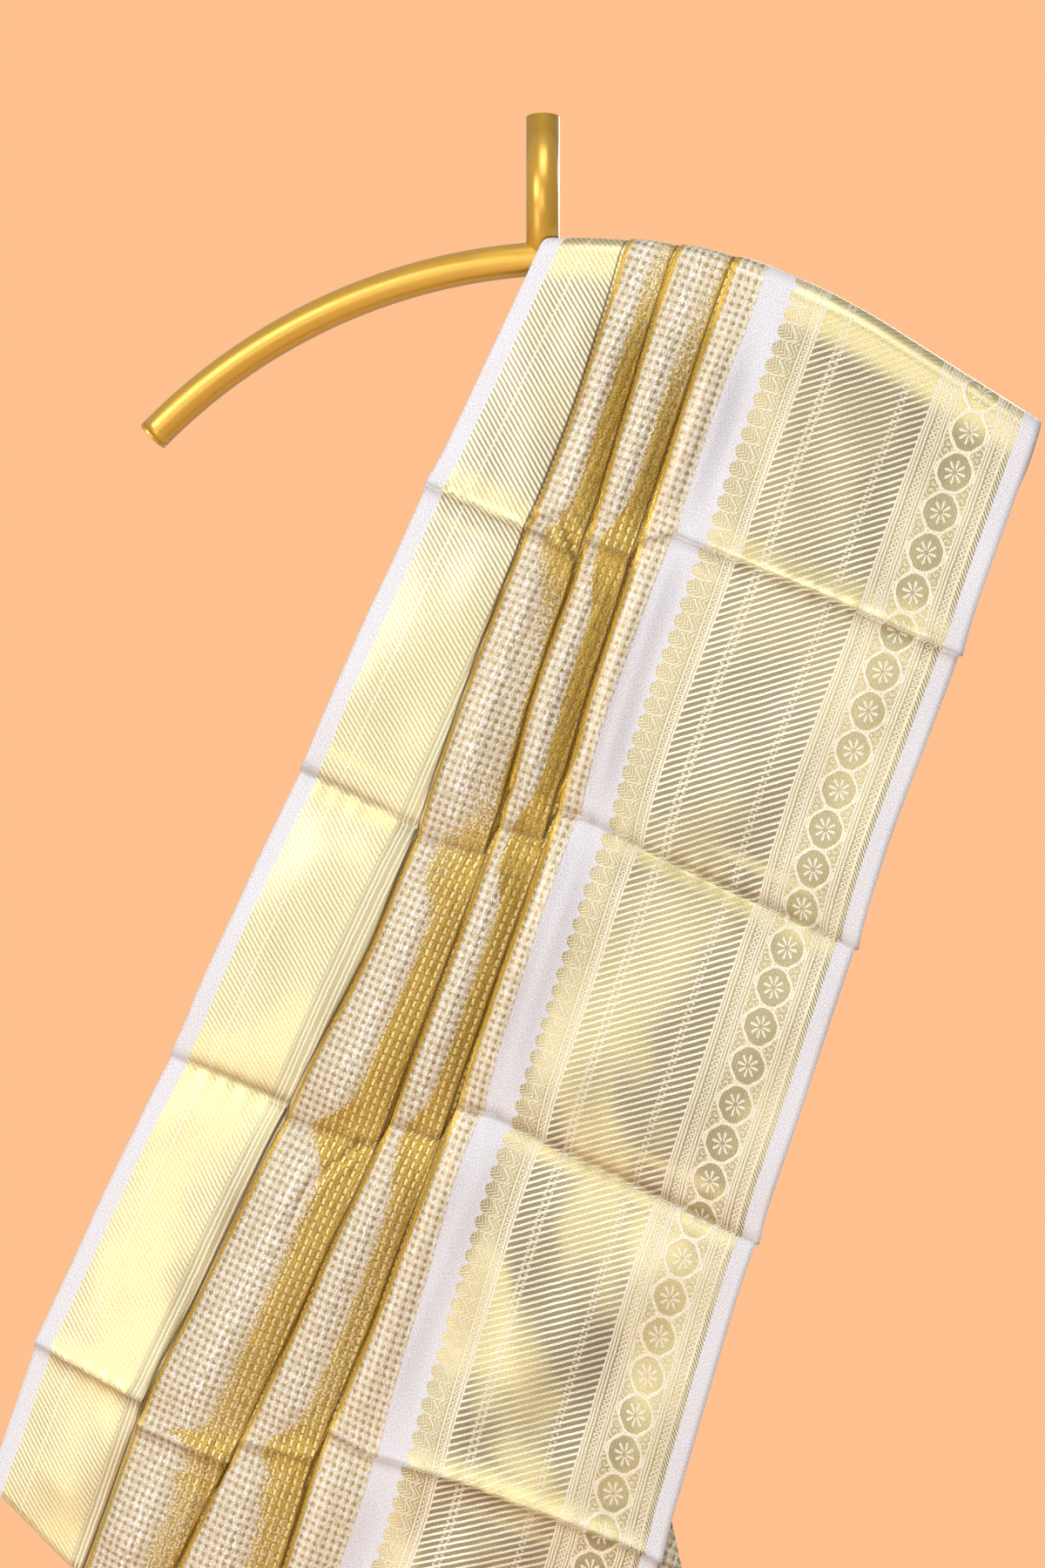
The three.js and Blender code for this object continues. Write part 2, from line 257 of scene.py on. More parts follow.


# Painted light and shade, kept as the lean attribute: 1 where the cloth is painted brightest, as if
# facing up into the light, down to -1 where it is painted in shade, as if facing away
def paintedLightAt(q, down, side):
    total = np.zeros_like(q)
    for crease in creasesOf(side):
        below = down - creaseNear(crease, q, down)
        uneven = 0.8 + 0.2 * np.sin(q / 39 + 2 * crease["rise"])
        if crease["rise"] > 0:
            upper = uneven * np.exp(-(below / bands["aboveRidge"]) ** 2)
            lower = -bands["belowRidge"][0] * np.exp(-below / bands["belowRidge"][1])
            echo = paintedBandAt(below, "ridgeEcho")
        else:
            upper = -uneven * np.exp(below / bands["aboveValley"])
            lower = bands["belowValley"][0] * np.exp(-(below / bands["belowValley"][1]) ** 2)
            echo = paintedBandAt(below, "valleyEcho")
        total += np.where(below < 0, upper, lower) + echo * uneven
    return total + paintedBandAt(down - clothAxis(q), "tube")


# Small slanting tucks pressed into the front of pleat 1, each a furrow with a lip beside it. A
# path's points are places across and down the strip
tucks = [
    {"path": [(108, 268), (136, 258), (152, 271), (165, 290)], "depth": 5.0, "reach": 5.0},
    {"path": [(173, 975), (166, 995), (152, 1017), (141, 1039), (139, 1068), (138, 1081)],
     "depth": 3.6, "reach": 4.5},
    {"path": [(150, 1365), (161, 1390), (159, 1434), (160, 1455)], "depth": 2.6, "reach": 4.0},
]


def tuckAt(q, down, side):
    total = np.zeros_like(q)
    if side > 0:
        return total
    for tuck in tucks:
        near = np.full_like(q, 999.0)
        for (q0, t0), (q1, t1) in zip(tuck["path"], tuck["path"][1:]):
            length = math.hypot(q1 - q0, t1 - t0)
            share = np.clip(((q - q0) * (q1 - q0) + (down - t0) * (t1 - t0)) / length ** 2, 0, 1)
            gap = np.hypot(q - q0 - share * (q1 - q0), down - t0 - share * (t1 - t0))
            near = np.minimum(near, gap)
        lip = 0.6 * np.exp(-((near - 9) / 6) ** 2)
        total += tuck["depth"] * (lip - np.exp(-(near / tuck["reach"]) ** 2))
    return total


# Runs from 0 on the tube to 1 where the cloth hangs free
def fromTube(q, down):
    share = np.clip((down - clothAxis(q) - pressed["freeFrom"]) / pressed["freeOver"], 0, 1)
    return share * share * (3 - 2 * share)


# How freely the pleats puff out: pressed flat at each crease, at the foot and on the tube
def pressAt(q, down, side):
    gap = creaseGap(q, down, side)
    body = 0.1 + 0.9 * (1 - np.exp(-(gap / pressed["flatReach"]) ** 2))
    end = bottomLine(q) if side < 0 else strip["backFall"]
    foot = np.clip((end - down) / pressed["footReach"], 0, 1)
    return body * fromTube(q, down) * (0.25 + 0.75 * foot)


# One row across the cloth: where its selvedges and folds lie, and how a point on it is placed
class Row:
    def __init__(self, side, downAt, placeAt, pressOf, alongAt, aside=0.0):
        self.downAt = downAt
        self.placeAt = placeAt
        self.pressOf = pressOf
        self.alongAt = alongAt
        for name in columns:
            q = np.array([200.0])
            for _ in range(4):
                q = acrossAt(name, downAt(q + 1))
            setattr(self, name, float(q[0]) + (aside if name == "left" else 0.0))
        if side > 0:
            place = np.array([self.right])
            self.right -= strip["backInset"] * float(fromTube(place, downAt(place))[0])
        # Both selvedges stand out a little above each crease and step back in below it
        for crease in creasesOf(side):
            for name, notch in strip["notches"].items():
                selvedge = getattr(self, name)
                place = np.array([selvedge])
                above = float(creaseLine(crease, place)[0] - downAt(place)[0])
                if above > -1:
                    setattr(self, name, selvedge + notch * math.exp(-above / strip["notchReach"]))
        self.under = (strip["clothWidth"] - (self.right - self.left)) / 6
        self.peek = 0.0
        self.side = side

    # Painted deep-gold shade on a pleat's lee side here, from the span between two creases that the row
    # lies in
    def paintedShadingOf(self, index, q):
        stops = [float(creaseLine(crease, q)[0]) for crease in creasesOf(self.side)]
        down = float(self.downAt(q)[0])
        middles = [-40] + [(a + b) / 2 for a, b in zip([0] + stops, stops + [1520])] + [1600]
        values = pleats[index]["paintedShading"][::-1]
        values = [values[0] * 0.4] + values[:len(middles) - 2] + [values[-1]]
        return float(np.interp(down, middles, values))


# A row of the front fall, side -1, or of the back fall, side 1
def hangingRow(side, downAt):
    def placeAt(q, height):
        down = downAt(q)
        y = side * (hanger["tubeRadius"] + height + reliefAt(q, down, side))
        return placePoint(q, down, y)

    def alongAt(q):
        if side < 0:
            return downAt(q)
        wrap = math.pi * (hanger["tubeRadius"] + 3) * tubeStretch(q)
        return 2 * clothAxis(q) - wrap - downAt(q)

    return Row(side, downAt, placeAt, lambda q: pressAt(q, downAt(q), side), alongAt)


# A row that lies on the tube, angle radians round it from the front
def saddleRow(angle):
    rise = math.sin(angle)

    def downAt(q):
        return clothAxis(q) - hanger["tubeRadius"] * rise

    def placeAt(q, height):
        radius = hanger["tubeRadius"] + height
        points = placePoint(q, clothAxis(q) - radius * rise * tubeStretch(q), -radius * math.cos(angle))
        # The corner of the cloth stands up against the stem and curls round its front
        away = np.hypot(points[:, 0], points[:, 1]) / mm
        push = np.maximum(strip["stemReach"] / away, 1)
        points[:, :2] *= push[:, None]
        return points

    def alongAt(q):
        return clothAxis(q) - (hanger["tubeRadius"] + 3) * angle * tubeStretch(q)

    turned = np.clip((angle - strip["curlFrom"]) / (strip["curlTo"] - strip["curlFrom"]), 0, 1)
    eased = turned * turned * (3 - 2 * turned) if angle < strip["curlTo"] else rise
    aside = strip["stemAside"] * eased
    return Row(-1, downAt, placeAt, lambda q: 0.05 + 0 * q, alongAt, aside)


# A row of the plain turn at the bottom of the front, and of the lip behind it
def turnRow(angle, lift):
    def placeAt(q, height):
        radius = height + strip["turnDepth"]
        down = bottomLine(q) + radius * math.sin(angle) - lift
        return placePoint(q, down, strip["turnDepth"] - hanger["tubeRadius"] - radius * math.cos(angle))

    def alongAt(q):
        return bottomLine(q) + 9 * angle + lift

    return Row(-1, bottomLine, placeAt, lambda q: 0.2 + 0 * q, alongAt)


# Rows lie closer together beside the creases than between them
def spanShares(count):
    even = np.arange(count) / count
    eased = 0.5 - 0.5 * np.cos(math.pi * even)
    return 0.45 * even + 0.55 * eased


def hangingRows(side, count, last):
    stops = [lambda q: clothAxis(q) + 2]
    stops += [lambda q, crease=crease: creaseLine(crease, q) for crease in creasesOf(side)]
    stops.append(last)
    rows = []
    for near, far in zip(stops, stops[1:]):
        for share in spanShares(count):
            rows.append(hangingRow(side, lambda q, a=near, b=far, s=share: a(q) * (1 - s) + b(q) * s))
    return rows


# All rows in order: lip, bottom turn, front fall, over the tube and down the back fall
def stripRows():
    front = hangingRows(-1, rowCounts["front"], bottomLine)
    back = hangingRows(1, rowCounts["back"], lambda q: strip["backFall"] - 30 * (q + 60) / 660)
    saddle = [saddleRow(math.pi * i / rowCounts["saddle"]) for i in range(rowCounts["saddle"] + 1)]
    turn = [turnRow(math.pi * i / rowCounts["turn"], 0) for i in range(rowCounts["turn"] + 1)]
    lifts = [strip["lipLength"] * i / rowCounts["lip"] for i in range(1, rowCounts["lip"] + 1)]
    lip = [turnRow(math.pi, lift) for lift in lifts]
    return lip[::-1] + turn[::-1] + front[::-1] + saddle + back


# Height of a layer above the tube: 0 is the narrow border panel, 6 the broad panel's face
def levelAt(row, layer, q):
    height = strip["clearance"] + strip["layerStep"] * (layer + 1.6) + 0 * q
    for index, fold in enumerate((row.fold1, row.fold2, row.fold3)):
        if layer >= 2 * index + 2:
            sink = np.clip((q - fold - row.under) / strip["settle"], 0, 1)
            height = height - 2 * strip["layerStep"] * sink
    return height


# Points across the hidden part of a fold, as shares of its width
hiddenShares = np.array([0.08, 0.2, 0.35, 0.5, 0.65, 0.8, 1.0])


def hiddenLevel(row, layer, q):
    return levelAt(row, layer, q) - strip["sinkHidden"] * fromTube(q, row.downAt(q))


# Each section gives, point by point across one row: its place, its height over the tube, its
# place on the uncut cloth, its painted shading (painted deep-gold shade, a painted dark gap line
# and a painted white crest highlight) and how near a folded edge it lies
def borderSection(row):
    edge = row.fold1 - strip["foldTuck"]
    count = pointCounts["narrow"]
    share = np.linspace(0, 1, count)
    seen = row.left + (edge - row.left) * share
    under = np.concatenate([[row.fold1 - 1], row.fold1 + row.under * hiddenShares])
    q = np.concatenate([seen, under])
    height = np.concatenate([levelAt(row, 0, seen), hiddenLevel(row, 0, under)])
    press = row.pressOf(seen)
    height[:count] += press * (2.6 * np.sin(math.pi * share) + 1.2 * np.sin(3 * math.pi * share) * share)
    # Painted shadow: the last few millimetres before fold 1 are painted as a dark gap line
    paintedShading = np.concatenate([1.6 * np.clip((share - 0.96) / 0.04, 0, 1), np.ones(len(under))])
    return q, height, q - row.left, paintedShading, 0 * paintedShading


# peak moves a pleat's crest to its left, lean is its share of puffHeight, crestHighlight is how
# white a painted highlight shines there, and paintedShading is how much painted deep-gold shade its
# lee side shows between each two creases, from the bottom turn to the back hem
pleats = {
    1: {"peak": 0.62, "lean": 1.0, "crestHighlight": 0.85, "paintedShading": [0.5, 0.7, 0.95, 0.05, 1.0]},
    2: {"peak": 0.58, "lean": 0.95, "crestHighlight": 0.85, "paintedShading": [0.6, 0.6, 0.8, 1.0, 0.7]},
    3: {"peak": 0.55, "lean": 0.8, "crestHighlight": 0.3, "paintedShading": [0.0, 0.1, 0.15, 0.1, 0.0]},
}


def pleatSection(row, index, face, faceCount):
    fold = getattr(row, "fold%d" % index)
    under = 2 * index - 1
    returned = fold + row.under * hiddenShares[::-1]
    press = float(row.pressOf(np.array([fold]))[0])
    gap = strip["layerStep"] * 1.1 + strip["foldOpening"] * press
    base = float(levelAt(row, under, np.array([fold]))[0])
    turn = np.radians([-90, -125, -160, -200, -235, -270])
    turnAcross = fold + gap / 2 * (1 + np.cos(turn))
    turnHeight = base + gap / 2 * (1 + np.sin(turn))
    share = np.linspace(0, 1, faceCount + 1)[1:]
    seen = fold + gap / 2 + (face - fold - gap / 2) * share
    press = row.pressOf(seen)
    opening = strip["foldOpening"] * press * (1 - share) ** 1.5
    puff = strip["puffHeight"] * press * np.sin(math.pi * share ** pleats[index]["peak"])
    flute = 0.7 * press * np.sin(5 * math.pi * share + index) * np.sin(math.pi * share)
    q = np.concatenate([returned, turnAcross, seen])
    height = np.concatenate([
        hiddenLevel(row, under, returned), turnHeight,
        levelAt(row, under + 1, seen) + opening + pleats[index]["lean"] * puff + flute,
    ])
    near = float(np.exp(-(creaseGap(q[-1:], row.downAt(q[-1:]), row.side)[0] / 38) ** 2))
    # Painted shade: the lee side of each pleat is painted deep gold, more of it near a crease
    leeShade = (row.paintedShadingOf(index, q[-1:]) + 0.25 * near) * np.clip((share - 0.46 + 0.3 * near) / 0.22, 0, 1)
    # Painted shadow: the last few millimetres of a pleat before the next fold are painted as a dark gap
    # line
    shade = 1.6 * np.clip((share - 0.93) / 0.07, 0, 1) if index < 3 else 0 * share
    edge = np.clip(1.7 - (seen - fold) / 4.2, 0, 1)
    # Below zero, paintedShading marks the crest, painted as a white highlight streak on the silk
    crestHighlight = pleats[index]["crestHighlight"] * np.exp(-((share - 0.46) / 0.16) ** 2) * (1 - np.clip(leeShade, 0, 1))
    paintedShading = np.concatenate([np.ones(len(returned) + len(turn)), np.maximum(leeShade, shade) - crestHighlight])
    edge = np.concatenate([np.zeros(len(returned)), np.ones(len(turn)), edge])
    start = row.fold1 + row.under - row.left
    for earlier in range(1, index):
        later = getattr(row, "fold%d" % (earlier + 1))
        start += 2 * row.under + later - getattr(row, "fold%d" % earlier)
    along = np.concatenate([
        start + (fold + row.under - returned),
        start + row.under + np.linspace(-1, 1, 6) * gap / 2,
        start + row.under + (seen - fold),
    ])
    return q, height, along, paintedShading, edge


def foldSection(index):
    def section(row):
        after = getattr(row, "fold%d" % (index + 1))
        face = after - strip["foldTuck"]
        q, height, along, paintedShading, edge = pleatSection(row, index, face, pointCounts["pleat"])
        under = np.concatenate([[after - 1], after + row.under * hiddenShares])
        extra = hiddenLevel(row, 2 * index, under)
        more = along[-1] + (under - q[-1])
        return (np.concatenate([q, under]), np.concatenate([height, extra]),
                np.concatenate([along, more]), np.concatenate([paintedShading, np.ones(len(under))]),
                np.concatenate([edge, 0 * under]))
    return section


def broadSection(row):
    face = row.fold3 + (row.strip - row.fold3) * 1.7
    q, height, along, paintedShading, edge = pleatSection(row, 3, face, pointCounts["lastPleat"])
    share = np.linspace(0, 1, pointCounts["broad"] + 1)[1:]
    border = face + (row.right - face) * share
    extra = levelAt(row, 6, border)
    extra = extra + 1.6 * row.pressOf(border) * np.sin(math.pi * share) ** 2
    more = strip["clothWidth"] - (row.right - border)
    return (np.concatenate([q, border]), np.concatenate([height, extra]),
            np.concatenate([along, more]), np.concatenate([paintedShading, 0 * border]),
            np.concatenate([edge, 0 * border]))


# The doubled cloth inside. Low on the front it shows past the outer cloth's right selvedge
def innerSection(row):
    share = np.linspace(0, 1, pointCounts["inner"])
    peek = np.clip((float(row.downAt(np.array([row.right]))[0]) - 1190) / 110, 0, 1) * row.peek
    q = row.left + 14 + (row.right - 10 + 60 * peek - row.left - 14) * share
    height = strip["clearance"] * 0.6 - strip["sinkInner"] * fromTube(q, row.downAt(q))
    return q, height, q - row.left + 300, 0 * q, 0 * q


# A cloth sheet swept through its rows, with its place on the uncut cloth as its UV map
def makeSheet(name, section, rows, material):
    sections = [section(row) for row in rows]
    count = len(sections[0][0])
    bm = bmesh.new()
    uvLayer = bm.loops.layers.uv.new("clothPlace")
    bmesh.ops.create_grid(bm, x_segments=count - 1, y_segments=len(rows) - 1, size=1)
    bm.verts.index_update()
    points = []
    cloth = []
    # Vertex marks: painted shading of the pleats, the fold edges, painted shade along each crease and
    # painted light and shade beside the creases (lean)
    marks = {"paintedShading": [], "foldEdge": [], "crease": [], "lean": []}
    for row, (q, height, along, paintedShading, edge) in zip(rows, sections):
        down = row.downAt(q)
        points.append(row.placeAt(q, height))
        cloth.append(np.stack([along, row.alongAt(q)], axis=-1) * mm)
        marks["paintedShading"].append(paintedShading)
        marks["foldEdge"].append(edge)
        marks["crease"].append(np.exp(-(creaseGap(q, down, row.side) / 2.4) ** 2))
        marks["lean"].append(paintedLightAt(q, down, row.side))
    layers = {mark: bm.verts.layers.float.new(mark) for mark in marks}
    spot = {}
    for vertex in bm.verts:
        i = round((vertex.co.x + 1) / 2 * (count - 1))
        j = round((vertex.co.y + 1) / 2 * (len(rows) - 1))
        spot[vertex.index] = (j, i)
        vertex.co = points[j][i]
        for mark, layer in layers.items():
            vertex[layer] = marks[mark][j][i]
    for polygon in bm.faces:
        polygon.smooth = True
        for loop in polygon.loops:
            j, i = spot[loop.vert.index]
            loop[uvLayer].uv = cloth[j][i]
    mesh = bpy.data.meshes.new(name)
    bm.to_mesh(mesh)
    bm.free()
    sheet = bpy.data.objects.new(name, mesh)
    bpy.context.scene.collection.objects.link(sheet)
    sheet.data.materials.append(material)
    shell = sheet.modifiers.new("cloth thickness", "SOLIDIFY")
    shell.thickness = strip["thickness"] * mm
    shell.offset = 0
    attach(sheet, "root")
    print("sheet", name, len(mesh.polygons), "quads")
    return sheet


def toLinear(code):
    values = [int(code[i:i + 2], 16) / 255 for i in (1, 3, 5)]
    linear = [v / 12.92 if v <= 0.04045 else ((v + 0.055) / 1.055) ** 2.4 for v in values]
    return (*linear, 1.0)


def newMaterial(name):
    material = bpy.data.materials.new(name)
    material.use_nodes = True
    material.node_tree.nodes.clear()
    return material


# Adds one node: settings are its own properties, inputs are values or other nodes' outputs
def addNode(tree, kind, settings=None, inputs=None, output=0):
    node = tree.nodes.new(kind)
    for key, value in (settings or {}).items():
        setattr(node, key, value)
    for key, value in (inputs or {}).items():
        if isinstance(value, bpy.types.NodeSocket):
            tree.links.new(value, node.inputs[key])
        else:
            node.inputs[key].default_value = value
    return node.outputs[output] if node.outputs else node


mathNode = "ShaderNodeMath"
rangeNode = "ShaderNodeMapRange"
vectorNode = "ShaderNodeVectorMath"
mixNode = "ShaderNodeMix"
noiseNode = "ShaderNodeTexNoise"
attributeNode = "ShaderNodeAttribute"
shaderNode = "ShaderNodeBsdfPrincipled"
plus = {"operation": "ADD"}
minus = {"operation": "SUBTRACT"}
times = {"operation": "MULTIPLY"}
timesPlus = {"operation": "MULTIPLY_ADD"}
over = {"operation": "DIVIDE"}
fraction = {"operation": "FRACT"}
sine = {"operation": "SINE"}
cosine = {"operation": "COSINE"}
absolute = {"operation": "ABSOLUTE"}
largest = {"operation": "MAXIMUM"}
arcTangent = {"operation": "ARCTAN2"}
power = {"operation": "POWER"}
size = {"operation": "LENGTH"}
scaled = {"operation": "SCALE"}
softStep = {"interpolation_type": "SMOOTHSTEP", "clamp": True}
mixColour = {"data_type": "RGBA"}
flatNoise = {"noise_dimensions": "2D"}
# A mix's settings, the numbers of its two inputs and of its output
colourMix = (mixColour, 6, 7, 2)
valueMix = ({}, 2, 3, 0)


# Lays each layer, a mask with its colour or value, over what is below it
def layOver(tree, mixing, lower, *layers):
    settings, first, second, output = mixing
    for mask, upper in layers:
        lower = addNode(tree, mixNode, settings, {0: mask, first: lower, second: upper}, output)
    return lower


# Joins masks, so that each one's threads stay as bright as they are
def largestOf(tree, first, *others):
    for other in others:
        first = addNode(tree, mathNode, largest, {0: first, 1: other})
    return first


# Colours of the yarns and of the painted shade, glare and highlight, and how each yarn takes the light
tissue = {
    "zari": "#EFE0A9",          # gold-coated thread: bright, pale yellow gold, also the colour of the painted glare
    "zariGround": "#8F866C",    # the same thread in twill, greyer, as turned from the light; painted glare lifts it to zari
    "floatLine": "#F1E7D2",     # long floats of zari catch the light as cream lines
    "silk": "#E1E0E9",          # undyed silk of the selvedges and the plain strip
    "checkPuff": "#EBE4DC",     # silk that stands up between the zari of the check
    "paintedHighlightSilk": "#FCFAF8",     # painted highlight: the silk on a pleat's crest, painted as if it catches the light
    "checkTan": "#CFBE9C",      # silk and zari mixed by the eye
    "checkDot": "#9A8051",      # small gaps of the check
    "paintedShadeGold": "#C6A344",      # painted shade: deep gold on the lee side of each pleat and inside the folds
    "foldGold": "#D2AA3C",      # the folded edge, the yellowest of all
    "foldShade": "#7A5F34",     # painted shade: zari painted as turned from the light, also the duller streaks of the deep gold
    "giltDash": "#F6E4A6",      # floats in the painted deep-gold shade
    "zariMetal": 0.72,
    "zariRoughness": 0.34,
    "silkRoughness": 0.55,
    "threadPitch": 1.4,         # real threads are 0.3 mm apart, drawn coarser so that they show
    "blotchSize": 2.8,          # uneven puffs of the check
    "wanderSize": 22.22,        # threads wander a little from their straight lines
    "wanderReach": 1.1,
    "streakSize": (2.174, 14.286),  # duller streaks of the check, across and along
    "paintedGlareSize": (125.0, 166.67),    # patches of painted glare, their size across and along
    "stripePitch": 6.6,         # slanting floats of the broad border and the narrow one
    "narrowPitch": 4.9,
    "stripeTurn": math.radians(37),
    "edgeTurn": -0.9,           # twill beside the broad border's selvedge
    "edgePitch": 3.0,
    "checkAcross": 8.6,         # one repeat of the check
    "checkAlong": 9.7,
    "dashFrom": (560.0, 690.0),     # down the cloth, the dashes start to show all along here
}
yarn = {name: toLinear(value) for name, value in tissue.items() if isinstance(value, str)}


# Place on the uncut cloth, in millimetres: across from the left selvedge, and along
def clothPlace(tree):
    place = addNode(tree, "ShaderNodeUVMap", {"uv_map": "clothPlace"})
    place = addNode(tree, vectorNode, scaled, {0: place, "Scale": 1000.0})
    wander = addNode(tree, noiseNode, flatNoise, {
        "Vector": place, "Scale": 1 / tissue["wanderSize"], "Detail": 2.0}, 1)
    wander = addNode(tree, vectorNode, minus, {0: wander, 1: (0.5, 0.5, 0.5)})
    wander = addNode(tree, vectorNode, scaled, {0: wander, "Scale": tissue["wanderReach"]})
    place = addNode(tree, vectorNode, plus, {0: place, 1: wander})
    parts = tree.nodes.new("ShaderNodeSeparateXYZ")
    tree.links.new(place, parts.inputs[0])
    return parts.outputs["X"], parts.outputs["Y"], place


# Three masks in one ramp across a border: bands are (from, to, red, green, blue) in millimetres.
# A ramp holds 256 steps, so the width it spans is kept small where its lines are fine
def bandMasks(tree, across, width, bands):
    share = addNode(tree, mathNode, over, {0: across, 1: width})
    ramp = tree.nodes.new("ShaderNodeValToRGB")
    ramp.color_ramp.interpolation = "CONSTANT"
    tree.links.new(share, ramp.inputs["Fac"])
    stops = ramp.color_ramp.elements
    stops[0].color = (*bands[0][2:], 1) if bands[0][0] == 0 else (0, 0, 0, 1)
    stops.remove(stops[1])
    for start, end, *colour in bands:
        stops.new(start / width).color = (*colour, 1)
        if end < width:
            stops.new(end / width).color = (0, 0, 0, 1)
    parts = tree.nodes.new("ShaderNodeSeparateColor")
    tree.links.new(ramp.outputs["Color"], parts.inputs[0])
    return parts.outputs[0], parts.outputs[1], parts.outputs[2]


# Slanting float lines: 1 on a line
def slantLines(tree, across, along, turn, pitch, low, high):
    part = addNode(tree, mathNode, times, {0: across, 1: 2 * math.pi * math.sin(turn) / pitch})
    phase = addNode(tree, mathNode, timesPlus, {
        0: along, 1: 2 * math.pi * math.cos(turn) / pitch, 2: part})
    wave = addNode(tree, mathNode, sine, {0: phase})
    return addNode(tree, rangeNode, softStep, {0: wave, 1: low, 2: high})


# Runs from -0.5 to 0.5 along each repeat of a pattern
def repeatOf(tree, value, pitch):
    step = addNode(tree, mathNode, over, {0: value, 1: pitch})
    step = addNode(tree, mathNode, fraction, {0: step})
    return addNode(tree, mathNode, minus, {0: step, 1: 0.5})


# A row of small links along the cloth: 1 on the thread of a link
def chainRow(tree, across, along, middle, pitch, reach):
    aside = addNode(tree, mathNode, minus, {0: across, 1: middle})
    aside = addNode(tree, mathNode, over, {0: aside, 1: reach})
    step = repeatOf(tree, along, pitch)
    step = addNode(tree, mathNode, times, {0: step, 1: 1.15 * pitch / reach})
    spot = addNode(tree, "ShaderNodeCombineXYZ", None, {0: aside, 1: step})
    away = addNode(tree, vectorNode, size, {0: spot}, 1)
    gap = addNode(tree, mathNode, minus, {0: away, 1: 0.72})
    gap = addNode(tree, mathNode, absolute, {0: gap})
    return addNode(tree, rangeNode, softStep, {0: gap, 1: 0.36, 2: 0.16})


# Painted glare: in noise patches and where the lean attribute paints light, the ground is painted as
# brightly as the lines on it. The painted glare grows stronger low down on the cloth
def paintedGlareAt(tree, place, along):
    drawn = addNode(tree, vectorNode, over, {0: place, 1: (*tissue["paintedGlareSize"], 1.0)})
    paintedGlare = addNode(tree, noiseNode, flatNoise, {
        "Vector": drawn, "Scale": 1.0, "Detail": 2.0, "Roughness": 0.5})
    paintedGlare = addNode(tree, rangeNode, softStep, {0: paintedGlare, 1: 0.42, 2: 0.66, 3: 0.0, 4: 0.6})
    low = addNode(tree, mathNode, absolute, {0: along})
    low = addNode(tree, rangeNode, softStep, {0: low, 1: 300.0, 2: 1200.0, 3: 0.3, 4: 1.3})
    paintedGlare = addNode(tree, mathNode, times, {0: paintedGlare, 1: low})
    lean = addNode(tree, attributeNode, {"attribute_name": "lean"}, None, 2)
    lean = addNode(tree, rangeNode, softStep, {0: lean, 1: 0.1, 2: 0.85})
    return largestOf(tree, paintedGlare, lean)


